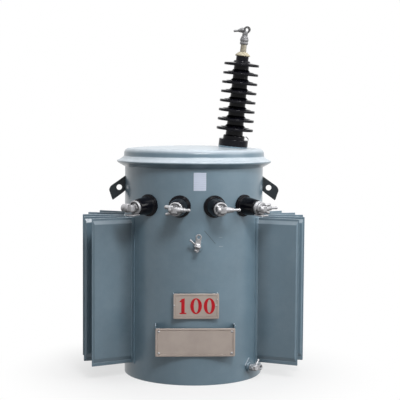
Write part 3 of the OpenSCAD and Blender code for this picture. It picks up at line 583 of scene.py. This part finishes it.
def eye_plate(outline, centre, hole, thickness, bevel):
    """A flat plate with a round hole: rays from the hole's centre run from its edge to the outline,
    and the section between is a rectangle with rounded corners, so the whole is one closed ring."""
    o = np.asarray(outline, float)
    own = np.arctan2(*(o - centre).T[::-1])
    even = np.linspace(-np.pi, np.pi, 64, endpoint=False)
    angles = np.union1d(np.round(own, 6), np.round(even, 6))
    outer = rim_of(o, centre, angles)
    h, m = thickness / 2, 1.3 * bevel
    out = eased([(-m, -h), (0, -h), (0, h), (-m, h)], bevel, 5)
    section = np.concatenate([out, (-1, -1) * out, out[:1]])
    base = np.concatenate([np.ones(len(out)), np.zeros(len(out)), [1]])[:, None]
    r = hole + base * (outer - hole) + section[:, :1]
    flat = np.array(centre) + r[..., None] * np.stack([np.cos(angles), np.sin(angles)], -1)
    return raised(flat, section[:, 1])


SCREW_SIDE = spin(2, 210)
SCREW_DIP = 11.7
EYE = np.array([-6.0, 0, 55.5])
EYE_FLAT = EYE[[0, 2]]
socket = eased([(0, 0), (13, 0), (15, 3), (15, 8), (13.6, 10), (13.6, 12), (15.6, 14), (15.6, 20), (12, 26),
                (0, 26)], [0, 1, 1.5, 1, 0.8, 0.8, 1.5, 2, 2, 0])
collar = eased([(0, 24), (14, 24), (12.5, 29), (9.5, 32), (9.3, 42), (8, 48), (0, 48)],
               [0, 0.5, 2, 3, 3, 1, 0])
head = np.concatenate([arc(11.5, -25, 225, 26, EYE_FLAT),
                       [(-9.5, 40), (-9.5, 34), (9.3, 34), (9.3, 42), (4.2, 45)]])
head = eye_plate(head, EYE_FLAT, 6.5, 20, 4.5)[..., ALONG_Y]
weathered = casting("weathered_casting", 0.25, 0.31, 0.25)
grids = [around(socket, 72, 8), around(collar, 48), head]
connector = formed("line_connector", *[on_bushing(g @ SCREW_SIDE.T, CONNECTOR_Z) for g in grids])
fitted(connector, weathered, "tinned_metal", "hv_connector")
beak = eased([(0, 6.6), (3.8, 6.6), (3.8, 12), (9.4, 12.4), (9.7, 18), (6, 29), (4.2, 33), (3.8, 48),
              (2.6, 49.5), (0, 49.5)], [0, 0.3, 0.5, 1, 3, 3, 2, 1, 1, 0])
beak = around(beak, 40)[..., ALONG_X] @ spin(1, SCREW_DIP).T + EYE
beak = formed("line_screw", on_bushing(beak @ SCREW_SIDE.T, CONNECTOR_Z))
fitted(beak, weathered, "tinned_metal", "hv_clamp_screw")


# Low voltage bushings
# Four short black glazed insulators through the front wall. Each has a stepped flange against the
# paint and a tapering body that droops a little.
LV_STEP = 27.5
LV_ANGLE = LV_STEP * (np.arange(4) - 1.5)
LV_Z, LV_DROOP = 645, 3.5
LV_FACE = 70


def on_lv(points, angle, out=0.0):
    """Carries points drawn about a Z axis to the drooping axis of one low voltage bushing."""
    return on_drum((points + np.array([0, 0, out])) @ spin(0, LV_DROOP).T, angle, LV_Z)


lv_line = eased([(0, -9), (40, -9), (40, 6), (36.5, 6.4), (36.5, 12), (33.2, 12.4), (31, 40), (27, 68),
                 (22, LV_FACE), (0, LV_FACE)], [0, 0, 1.6, 0.8, 2.4, 2.5, 12, 5, 2, 0], 7)
for i, angle in enumerate(LV_ANGLE, 1):
    body = formed(f"lv_insulator_{i}", on_lv(around(lv_line, 112), angle))
    fitted(body, glaze, "black_porcelain", f"lv_bushing_{i}")


# Low voltage terminals
# Tinned bronze clamps on the bushings' studs: a collar with a grooved, hollow or solid face, a
# rounded block with an upright hole for the cable, and a barrel with the clamping screw. All but the
# first have a fork, and the outer two a flat tab below.
CABLE_OUT = 26


def prong(start, end, radius):
    """One finger of a fork: a round bar between two places with a half ball at each end."""
    start, end = np.array(start, float), np.array(end, float)
    ahead = unit(end - start)
    side = unit(np.cross(ahead, (0, 0, 1.0)))
    a = np.radians(np.linspace(-90, 90, 14))
    middle = np.where(a[:, None] < 0, start, end) + radius * np.sin(a)[:, None] * ahead
    turn = full_turn(18)[:, None]
    ring = np.cos(turn) * side + np.sin(turn) * np.cross(side, ahead)
    return middle[:, None] + radius * np.cos(a)[:, None, None] * ring


def lv_clamp(hand, wide, long, fork, face):
    """The closed grids of one clamp about its bushing's axis: a collar turned with the given face, a
    block with the cable's hole, a barrel of the wide radius and the long reach on the side of the
    hand, and with a fork its fingers and a hub opposite the barrel."""
    collar = eased([(0, 0), (23.5, 0), (25, 1.5), (25, 7.5), (23, 9.4), *face, (0, face[-1][1])], 0.9)
    block = eye_plate(oblong(25, 24, 8, 0, -CABLE_OUT), (0, -CABLE_OUT), 6.5, 24, 5)
    end = [(wide - 2.4, long - 8), (wide - 2.6, long - 6), (wide - 5, long - 5.4), (wide - 5, long - 4.2),
           (wide - 2.6, long - 3.6), (wide - 2.8, long - 1), (wide - 5, long), (0, long)]
    barrel = eased([(0, 6), (wide - 2, 6), (wide, 12), (wide - 0.5, 22), *end],
                   [0, 1, 3, 4, 2, 0.4, 0.4, 0.4, 0.4, 0.8, 0.8, 0])
    hub = eased([(0, -20), (8, -20), (11.6, -16), (12.4, -9), (0, -9)], [0, 2, 3, 1, 0])
    turned = [around(barrel, 56), around(hub, 40)] if fork else [around(barrel, 56)]
    side = [g[..., ALONG_X] + (0, 0, CABLE_OUT) for g in turned] + [prong(*finger) for finger in fork]
    return [around(collar, 72), block[..., ALONG_Y] * (1, 1, -1), *[g * (hand, 1, 1) for g in side]]


def lv_screw(hand, long, out):
    """The clamping screw beyond the barrel: a plain shank and a rounded end."""
    tip = long + out
    line = eased([(0, 7), (5, 7), (4.8, tip - 4), (5.6, tip - 1), (5.6, tip + 3), (3.4, tip + 5.4),
                  (0, tip + 5.6)], [0, 0.3, 1, 2, 2, 1.5, 0])
    return around(line, 28)[..., ALONG_X] * (hand, 1, 1) + (0, 0, CABLE_OUT)


tab = slab(oblong(38, 38, 4, 0, 19), -27, -23, 1.2)[..., ALONG_Y]
# Collar faces are corners of radius and height. A fork's finger is its two ends and its radius.
hollow = [(20.2, 9.4), (19, 3), (9.5, 3), (9, 15)]
grooved = [(21.6, 9.4), (21, 1), (14.5, 1), (13.5, 12)]
disc = [(21, 9.6), (20.5, 15), (22.5, 16), (22.5, 21), (21, 23)]
short_fork = [((-8, 9, 19), (-17, 12, 15), 5), ((-8, -9, 19), (-16, -13, 15), 5)]
long_fork = [((-9, 8, 23), (-29, 9, 21), 7.5), ((-9, -12, 20), (-28, -16, 18), 5.5)]
front_fork = [((9, 12, 28), (29, 14.5, 30), 5), ((10, -11, 28), (26, -15.5, 29), 5)]
clamps = [(-1, 16.5, 38, -2, [], grooved, [tab]), (1, 11, 40, 12, long_fork, hollow, []),
          (1, 11, 40, 20, short_fork, hollow, []), (1, 11, 40, 28, front_fork, disc, [tab])]
screws = []
for i, (hand, wide, long, out, fork, face, below) in enumerate(clamps):
    grids = lv_clamp(hand, wide, long, fork, face) + below
    clamp = formed(f"lv_clamp_{i + 1}", *[on_lv(g, LV_ANGLE[i], LV_FACE) for g in grids])
    fitted(clamp, tinned, "tinned_metal", f"lv_terminal_{i + 1}")
    screws.append(on_lv(lv_screw(hand, long, out), LV_ANGLE[i], LV_FACE))
fitted(formed("lv_screws", *screws), tinned, "tinned_metal", "lv_clamp_screws")


# Radiator panels
# Ten hollow fins, five on each side. Each is two pressed steel sheets seam-welded round their edge
# with oil between them, and stands on a narrow strip welded to the drum.
FIN_LOW, FIN_TOP = node_box("radiator_panel_left_1")[:, 2]
FIN_IN, FIN_OUT = 257.0, 420.0
FIN_CORNER = 3.0
FIN_MIDDLE, FIN_STEP = 91.9, 14.1
SEAM_HALF, SEAM_ROUND = 1.5, 1.6
FACE_RISE = 5.5
SEAM_WIDE = np.array([4.0, 14.0, 10.0])[:, None, None]
SLOPE_WIDE = np.array([5.0, 13.0, 13.0])[:, None, None]
STRIP_IN, STRIP_OUT, STRIP_HALF = 259.0, 263.2, 5.05


def fin():
    """A fin in its own frame, out from the drum, across and up. At each place the half thickness
    depends on the distances to the outer, lower and upper edges: the rounded edge of the seam, the
    level seam, a shallow crease, a straight shoulder with short curves at its foot and head, and a
    face that bulges a little. Corners use a smooth minimum of the three shoulders."""
    x = np.concatenate([np.linspace(FIN_IN, FIN_OUT - 20, 10), np.linspace(FIN_OUT - 17, FIN_OUT - 2.5, 24),
                        FIN_OUT - 2 * np.cos(np.radians(np.linspace(15, 90, 6)))])
    end = np.unique(np.concatenate([2 * (1 - np.cos(np.radians(np.linspace(0, 90, 6)))),
                                    np.linspace(3, 7, 3), np.linspace(8, 30, 34), np.linspace(36, 180, 6)]))
    z = np.concatenate([FIN_LOW + end, FIN_TOP - end[::-1]])[:, None]
    run = np.concatenate([x, x[::-1]])
    side = np.concatenate([np.ones(len(x)), -np.ones(len(x))])
    ends = np.clip(FIN_CORNER - np.minimum(z - FIN_LOW, FIN_TOP - z), 0, FIN_CORNER)
    cut = FIN_CORNER - np.sqrt(FIN_CORNER**2 - ends**2)
    run = FIN_IN + (run - FIN_IN) * (1 - cut / (FIN_OUT - FIN_IN))
    d = np.stack(np.broadcast_arrays(FIN_OUT - cut - run, z - FIN_LOW, FIN_TOP - z))
    nearest = d.min(0)
    edge = SEAM_HALF * np.sqrt(np.clip(1 - (1 - np.clip(nearest / SEAM_ROUND, 0, 1)) ** 2, 0, 1))
    blend, soft = 0.06, 0.12
    rise = (d - SEAM_WIDE) / SLOPE_WIDE
    rise = np.clip(-blend * np.log(np.exp(-rise / blend).sum(0)), -0.2, 1.2)
    s = np.clip(np.where(rise < soft, np.clip(rise + soft, 0, 1) ** 2 / (4 * soft), rise), 0, 1)
    s = np.where(rise > 1 - soft, 1 - np.clip(1 + soft - rise, 0, 1) ** 2 / (4 * soft), s)
    crease = -0.5 * np.exp(-((rise + 0.1) / 0.07) ** 2)
    outward_bulge = np.sin(np.pi * np.clip((run - FIN_IN - 1) / 150, 0, 1))
    upward_bulge = np.sin(np.pi * np.clip((z - FIN_LOW - 6) / 530, 0, 1))
    belly = 0.7 * outward_bulge * upward_bulge
    half = edge + np.where(nearest > 0, FACE_RISE * s + belly * s + crease, 0)
    return np.stack([np.broadcast_to(run, half.shape), half * side, np.broadcast_to(z, half.shape)], -1)


def root_strip():
    """The strip under a fin: a flat section bent to the drum, from the fin's foot to its top."""
    section = np.concatenate([arc(STRIP_OUT, -STRIP_HALF, STRIP_HALF, 13),
                              arc(STRIP_IN, STRIP_HALF, -STRIP_HALF, 13)])
    middle = np.broadcast_to(section.mean(0), section.shape)
    return raised(np.stack([middle, section, section, middle]), [FIN_LOW, FIN_LOW, FIN_TOP, FIN_TOP])


def side_welds(r, half, low, top, thick, pitch, seed):
    """Two upright beads at a radius, a half width to each side of a plate that stands out along X."""
    return [bead(np.array([[r, s * half, low], [r, s * half, top]]), thick, pitch, 8, seed + s)
            for s in (-1, 1)]


# The fins' enamel carries painted shade near the drum.
fin_paint = enamel("fin_enamel", BLUE_GREY, BLUE_GREY_SHADE, PALE_DUST_AND_LIGHT, 0.8, 0.8, 0.45)
fin_shape, strip_shape = fin(), root_strip()
for hand, word in ((-1, "left"), (1, "right")):
    for i in range(1, 6):
        stand = spin(2, hand * (FIN_MIDDLE + FIN_STEP * (i - 3)) - 90).T
        welds = side_welds(STRIP_OUT + 0.2, 7.2, FIN_LOW + 18, FIN_TOP - 18, 2.0, 4.5, i)
        panel = formed(f"fin_{word}_{i}", *[g @ stand for g in (fin_shape, strip_shape, *welds)])
        fitted(panel, fin_paint, "tank_paint", f"radiator_panel_{word}_{i}")


# Lifting lugs
# Two flame-cut steel plates with a shackle hole, welded upright to the drum above the fins and
# finished in a darker grey.
LUG_ANGLE = 84.85
LUG_HOLE, LUG_HOLE_R = (282.5, 700), 10.5
LUG_THICK = 10
DARK_GREY, DARK_GREY_SHADE, GREY_DUST_AND_LIGHT = (0.012, 0.017, 0.021), (0.018, 0.024, 0.028), (0.06, 0.07, 0.08)
# Faces of the lugs that look up lighten a little towards a paler grey: dust and painted light.
lug_paint = enamel("dark_grey_enamel", DARK_GREY, DARK_GREY_SHADE, GREY_DUST_AND_LIGHT, 0.1, 0.2)
lug_foot = eased([(320, 688.5), (307.5, 651.5), (267.5, 681), (260, 688), (257, 688)], [0, 5, 1, 1, 0])
lug_line = np.concatenate([[(257, 745.1)], arc(24, 55, 0, 9, (296, 688.5)), lug_foot[6:]])
lug = eye_plate(lug_line[::-1], LUG_HOLE, LUG_HOLE_R, LUG_THICK, 1.3)[..., ALONG_Y]
lug_welds = side_welds(TANK_R + 0.6, LUG_THICK / 2 + 0.8, 689.0, 743.0, 3.2, 5, 0)
for hand, word in ((-1, "left"), (1, "right")):
    stand = spin(2, hand * LUG_ANGLE - 90).T
    piece = formed(f"lug_{word}", *[g @ stand for g in (lug, *lug_welds)])
    fitted(piece, lug_paint, "lug_paint", f"lifting_lug_{word}")


# Pole hangers
# Two slotted steel channels on the back, one over the other, that hang the transformer on pole
# bolts. Their webs are fillet-welded to the drum.
WELD_REACH = 64.0
for word in ("upper", "lower"):
    height = node_box(f"hanger_{word}")[:, 2].mean()
    fitted(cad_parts[f"hanger_{word}"], tank_paint, "tank_paint")
    runs = [bead(on_drum(np.array([[x, -WELD_REACH, out], [x, WELD_REACH, out]]), BACK, height),
                 3.6, 5.5, 10, x) for x, out in ((-49, -4.4), (49, -4.4), (-39.2, -2.7), (39.2, -2.7))]
    fitted(formed(f"hanger_welds_{word}", *runs), tank_paint, "tank_paint")


# Nameplate and rating plate
# Pressed champagne-coloured aluminium plates with a raised border on painted steel angles that
# stand off the drum. The large one is screwed at its corners and the small one by its ends.
name_low, name_high = node_box("nameplate")
rating_low, rating_high = node_box("rating_plate")
NAME_X, NAME_Z = ((name_low + name_high) / 2)[[0, 2]]
NAME_WIDE, NAME_HIGH = (name_high - name_low)[[0, 2]]
RATING_X, RATING_Z = -1.5, (rating_low + rating_high)[2] / 2
RATING_WIDE, RATING_HIGH = 163, (rating_high - rating_low)[2]
PLATE_OUT = -name_high[1] - TANK_R
for node in ("nameplate_brackets", "rating_plate_brackets"):
    fitted(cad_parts[node], tank_paint, "tank_paint")

CHAMPAGNE, CHAMPAGNE_SHADE = (0.44, 0.375, 0.335), (0.37, 0.312, 0.28)
champagne, shader, at = new_finish("brushed_champagne_plate", Specular_IOR_Level=0.4)
brush = at.stretched(14, 60, 900).noise(1.0, 3.0)
tone = at.noise(13.0, 4.0).between(0.3, 0.75)
tone.mixed(CHAMPAGNE, CHAMPAGNE_SHADE).into(shader, "Base Color")
(0.35 + tone * 0.1).into(shader, "Metallic")
(brush * 0.16 + 0.40).into(shader, "Roughness")
(brush + at.noise(30.0)).bump(0.06, 0.0004).into(shader, "Normal")


def bordered(width, height):
    """A pressed plate in its own plane: rings of the same rounded rectangle run from the middle of the
    face to the border's inner foot, up over the border, round the edge and back behind to the middle."""
    inset = [12, 8.9, 8.5, 7.7, 7.2, 6.4, 1.2, 0.3, 0, 0, 0.6]
    level = [2.2, 2.2, 2.2, 1.3, 1.3, 2.6, 3.5, 3.5, 3.1, 2.5, 0.4, 0, 0]
    middle = oblong(0.02, 0.02, 0.001)
    rings = [oblong(width - 2 * d, height - 2 * d, max(5 - 0.5 * d, 0.5)) for d in inset]
    return raised(np.stack([middle, *rings, middle]), level)


def on_front(points, x, z, out):
    """Carries points drawn across, up and forward to the front, at a distance before the drum's
    foremost line."""
    return np.stack([points[..., 0] + x, -points[..., 2] - TANK_R - out, points[..., 1] + z], -1)


def pan_head(r):
    """A screw's low domed head: a quarter of an ellipse turned about its axis, on a short side."""
    dome = arc(r, 0, 90, 6) * (1, 0.45) + (0, 0.5)
    return around(np.concatenate([[(0, 0), (r, 0)], dome]), 24)


for name, node, wide, high, x, z in (
        ("plain_nameplate", "nameplate", NAME_WIDE, NAME_HIGH, NAME_X, NAME_Z),
        ("plain_rating_plate", "rating_plate", RATING_WIDE, RATING_HIGH, RATING_X, RATING_Z)):
    plate = formed(name, on_front(bordered(wide, high), x, z, PLATE_OUT))
    fitted(plate, champagne, "plate_metal", node)
across, along = NAME_WIDE / 2 - 12, NAME_HIGH / 2 - 12
heads = [on_front(pan_head(4.2), NAME_X + sx * across, NAME_Z + sz * along, PLATE_OUT + 2.2)
         for sx in (-1, 1) for sz in (-1, 1)]
heads += [on_front(pan_head(r), x, z, PLATE_OUT + 3.4)
          for r, x, z in ((3.2, -80.5, 292.4), (3.2, 70, 292.4), (2.2, 73, 314))]
fitted(formed("plate_screws", *heads), tinned, "tinned_metal")


# Rating number
# Three plain numerals in red enamel, a straight one with a flag and a foot and two round ones. They
# are laid flat on the rating plate as a thin film.
RED, RED_FADED = (0.52, 0.004, 0.014), (0.42, 0.006, 0.016)
red, shader, at = new_finish("red_numerals", Specular_IOR_Level=0.35)
fade = at.noise(70.0, 4.0).between(0.4, 0.75)
fade.mixed(RED, RED_FADED).into(shader, "Base Color")
(fade * 0.12 + 0.42).into(shader, "Roughness")


def nought(x, width, height, thick, thin):
    """A round numeral: an ellipse with a narrower ellipse inside it, thick at the sides and thin at
    the top and bottom, as a closed ring with a rectangular section."""
    a = full_turn(64)
    circle = np.stack([np.cos(a), np.sin(a)], -1)
    outer = circle * (width / 2, height / 2)
    inner = circle * (width / 2 - thick, height / 2 - thin)
    return raised(np.stack([outer, outer, inner, inner, outer]) + (x, 0), [0, 0.5, 0.5, 0, 0])


def stroke(outline, thick):
    """A straight part of a numeral: a thin slab with slightly eased corners."""
    return slab(eased(outline, 0.4, 3, True), 0, thick, 0.1)


stem = stroke([(-54.5, -28), (-42.5, -28), (-42.5, 28.5), (-54.5, 25)], 0.5)
flag = stroke([(-61, 17), (-59, 13.5), (-49, 18), (-49, 27)], 0.48)
base = stroke([(-60.5, -28.5), (-36.5, -28.5), (-36.5, -24), (-60.5, -24)], 0.46)
marks = [stem, flag, base, nought(-1.75, 41.5, 57, 12.5, 4.5), nought(45.75, 40.5, 57, 12.5, 4.5)]
marks = [on_front(g, RATING_X + 1, RATING_Z + 0.5, PLATE_OUT + 2.15) for g in marks]
fitted(formed("rating_numerals", *marks), red, "plate_metal")


# Paper label
# A white self-adhesive slip of paper with faint ruled lines. It is stuck on the wall under the rim
# and bent to the drum.
LABEL_WIDE, LABEL_HIGH = 45, 64.5
LABEL_ANGLE, LABEL_Z = 2.0, 733.3
RULE_STEP = 0.0034
PAPER, PAPER_RULE = (0.60, 0.66, 0.79), (0.32, 0.35, 0.43)
paper, shader, at = new_finish("white_paper_label", Specular_IOR_Level=0.3)
rule = at.maths("PINGPONG", at.part(2), RULE_STEP).between(RULE_STEP - 0.001, RULE_STEP)
inner = at.noise(25.0, 3.0).between(0.3, 0.6)
(rule * inner * 0.55).mixed(PAPER, PAPER_RULE).into(shader, "Base Color")
(inner * 0.1 + 0.45).into(shader, "Roughness")


def film(outline, angle, height, thick):
    """A thin sheet on the drum: rings of a closed outline shrink to its middle on the outer face and
    again on the inner one, and the whole is bent round the drum's axis."""
    o = np.asarray(outline, float)
    o = dense(np.concatenate([o, o[:1]]), 3.0)[:-1]
    k = np.linspace(0.0005, 1, 12)
    flat = o.mean(0) + (o - o.mean(0)) * np.concatenate([k, k[::-1]])[:, None, None]
    depth = TANK_R + np.repeat([thick, 0.02], len(k))[:, None]
    swing = np.radians(angle) + flat[..., 0] / TANK_R
    return np.stack([depth * np.sin(swing), -depth * np.cos(swing), flat[..., 1] + height], -1)


label = film(oblong(LABEL_WIDE, LABEL_HIGH, 2), LABEL_ANGLE, LABEL_Z, 0.75)
fitted(formed("paper_label", label), paper, "plate_metal")


# Scuffs
# Marks of handling in the front paint, right of the ground connector: a long dark scratch and two
# short pale rubs, each laid on the wall as a thin film.
SCUFF_THICK = 0.55


def bared(name, colour, shade):
    """Worn enamel: a fine mottle between two tones and an uneven, dull gloss."""
    made, shader, at = new_finish(name, Specular_IOR_Level=0.3)
    at.noise(150.0, 4.0).mixed(colour, shade).into(shader, "Base Color")
    (at.noise(300.0) * 0.2 + 0.45).into(shader, "Roughness")
    return made


worn = bared("scratched_enamel", (0.075, 0.10, 0.115), (0.10, 0.13, 0.15))
rubbed = bared("rubbed_enamel", (0.34, 0.40, 0.46), (0.26, 0.32, 0.37))
scratch = film([(-20.5, 25), (-20.5, 22.6), (20.5, -24.6), (21, -23.4)], 10.3, 535, SCUFF_THICK)
fitted(formed("paint_scratch", scratch), worn, "tank_paint")
rubs = [film(oblong(16, 2.6, 1.2), 19.5, 501.6, SCUFF_THICK),
        film(oblong(13, 1.6, 0.7), 19.2, 533.6, SCUFF_THICK)]
fitted(formed("paint_rubs", *rubs), rubbed, "tank_paint")


# Ground connectors
# Tinned eyebolt clamps on welded steel pads, one in the middle of the front and one low down by the
# fins, each with a hexagonal body, a flat eye, a short tail and a screw set at a slant.
PAD_FACE = 269
EYE_OUT = 21
fitted(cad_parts["front_ground_pad"], tank_paint, "tank_paint")
fitted(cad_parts["base_ground_pad"], tank_paint, "tank_paint")


def ground_clamp():
    """The closed grids of one clamp about its stud, with the eye upwards: the flat eye with its neck
    and tail, a hexagonal body, a square nut that leans back so that it faces up, and a ball on the
    tail."""
    outline = np.concatenate([arc(11.2, -15, 195, 22, (0, 33)), [(-9.6, 20), (-10.6, 0)],
                              arc(6.2, 200, 340, 12, (0, -15)), [(10.6, 0), (9.6, 20)]])
    eye = eye_plate(outline, (0, 33), 5.6, 8, 2.4) + (0, 0, EYE_OUT)
    body = around(hexagon(12, 0, 29), 60, 6)
    nut = around(hexagon(9.5, -6, 5), 60, 4) @ spin(2, 38).T @ spin(0, -40).T + (1, 1, 27)
    knob = around(arc(4.6, -90, 90, 13), 32) + (-5.5, -14, 25)
    return [eye, body, nut, knob]


def ground_screw():
    """The slanting screw out of a ground clamp's body, with a rounded end."""
    line = eased([(0, 6.2), (3.4, 6.2), (3.4, 30), (4.3, 32), (4.3, 34.5), (2.6, 36.4), (0, 36.4)],
                 [0, 0.3, 1, 1, 1, 1, 0])
    return around(line, 28)[..., ALONG_X] @ spin(2, 145).T + (0, 0, EYE_OUT)


rods = []
for word, angle, height, twist in (("front", 0.1, 505.5, -6.5), ("base", 49.16, 48, -95)):
    *grids, rod = [on_drum(g @ spin(2, twist).T, angle, height, PAD_FACE)
                   for g in (*ground_clamp(), ground_screw())]
    fitted(formed(f"ground_clamp_{word}", *grids), tinned, "tinned_metal", f"{word}_ground_connector")
    rods.append(rod)
fitted(formed("ground_screws", *rods), tinned, "tinned_metal", "ground_clamp_screws")


# Studio
# A pale floor that keeps the shadow and runs out to white, a white surround, a broad light overhead,
# a narrower one high in front, one at the right, and the camera of the photograph.
FLOOR_HALF = 40.0
ground = bpy.data.meshes.new("studio_floor")
ground.from_pydata([(x * FLOOR_HALF, y * FLOOR_HALF, 0) for x, y in ((-1, -1), (1, -1), (1, 1), (-1, 1))],
                   [], [(0, 1, 2, 3)])
floor = bpy.data.objects.new("studio_floor", ground)
bpy.context.collection.objects.link(floor)


def showing(tree):
    """1 for rays of the camera, of a glossy face or through glass, and 0 for light that bounces."""
    seen, shiny, clear = [Tone(tree).node("ShaderNodeLightPath", output=f"Is {kind} Ray")
                          for kind in ("Camera", "Glossy", "Transmission")]
    return seen.maths("MAXIMUM", seen.maths("MAXIMUM", seen, shiny), clear)


FLOOR_LIT, FLOOR_SEEN = (0.15, 0.15, 0.15), (0.86, 0.86, 0.86)
pale_floor = bpy.data.materials.new("pale_floor")
pale_floor.use_nodes = True
tree = pale_floor.node_tree
at = Tone(tree).node("ShaderNodeTexCoord", output="Object")
away = at.length().between(0.35, 0.75)
shows = showing(tree)
matt = at.node("ShaderNodeBsdfDiffuse", None, {"Color": shows.mixed(FLOOR_LIT, FLOOR_SEEN)})
white = at.node("ShaderNodeEmission", None, {"Color": (1, 1, 1, 1), "Strength": 1.0})
blend = at.node("ShaderNodeMixShader", None, {0: (away * 0.35 + 0.65) * shows, 1: matt, 2: white})
blend.into(tree.nodes["Material Output"], "Surface")
tree.nodes.remove(tree.nodes["Principled BSDF"])
ground.materials.append(pale_floor)

SURROUND_LIGHT = 0.31
world = bpy.data.worlds.new("white_surround")
bpy.context.scene.world = world
world.use_nodes = True
back = world.node_tree.nodes["Background"]
back.inputs["Color"].default_value = (1, 1, 1, 1)
(showing(world.node_tree) * (1 - SURROUND_LIGHT) + SURROUND_LIGHT).into(back, "Strength")


def softbox(name, place, target, size, power, spread=180):
    """A square area light at a place, aimed at a target, with its spread in degrees."""
    lamp = bpy.data.lights.new(name, "AREA")
    lamp.size, lamp.energy, lamp.spread = size, power, np.radians(spread)
    box = bpy.data.objects.new(name, lamp)
    bpy.context.collection.objects.link(box)
    aim = unit(np.array(target, float) - place)
    side = unit(np.cross(aim, (0.0, 1.0, 0.001)))
    rows = np.eye(4)
    rows[:3] = np.stack([side, np.cross(side, aim), -aim, place], -1)
    box.matrix_world = Matrix(rows.tolist())


softbox("sky_light", (0, 0.4, 3.6), (0, 0, 0.5), 3.0, 36)
softbox("front_light", (0.6, -2.8, 3.0), (0, 0, 0.7), 1.0, 6.4, 50)
softbox("right_light", (3.3, -1.5, 2.1), (0, 0, 0.6), 2.2, 74)

CAMERA_AWAY, CAMERA_HEIGHT = 4.099, 0.936
AZIMUTH, YAW, PITCH, ROLL = np.radians([-2.76, -0.33, -3.98, 0.40])
scene = bpy.context.scene
scene.view_settings.view_transform = "Standard"
lens = bpy.data.cameras.new("photo_camera")
lens.lens, lens.sensor_width = 97.56, 36
lens.clip_end = 200
camera = bpy.data.objects.new("photo_camera", lens)
bpy.context.collection.objects.link(camera)
swing = AZIMUTH + YAW
forward = np.array([-np.sin(swing) * np.cos(PITCH), np.cos(swing) * np.cos(PITCH), np.sin(PITCH)])
right = np.array([np.cos(swing), np.sin(swing), 0])
up = np.cross(right, forward)
view = np.eye(4)
view[:3, 0] = np.cos(ROLL) * right + np.sin(ROLL) * up
view[:3, 1] = np.cos(ROLL) * up - np.sin(ROLL) * right
view[:3, 2] = -forward
view[:3, 3] = CAMERA_AWAY * np.sin(AZIMUTH), -CAMERA_AWAY * np.cos(AZIMUTH), CAMERA_HEIGHT
camera.matrix_world = Matrix(view.tolist())
scene.camera = camera
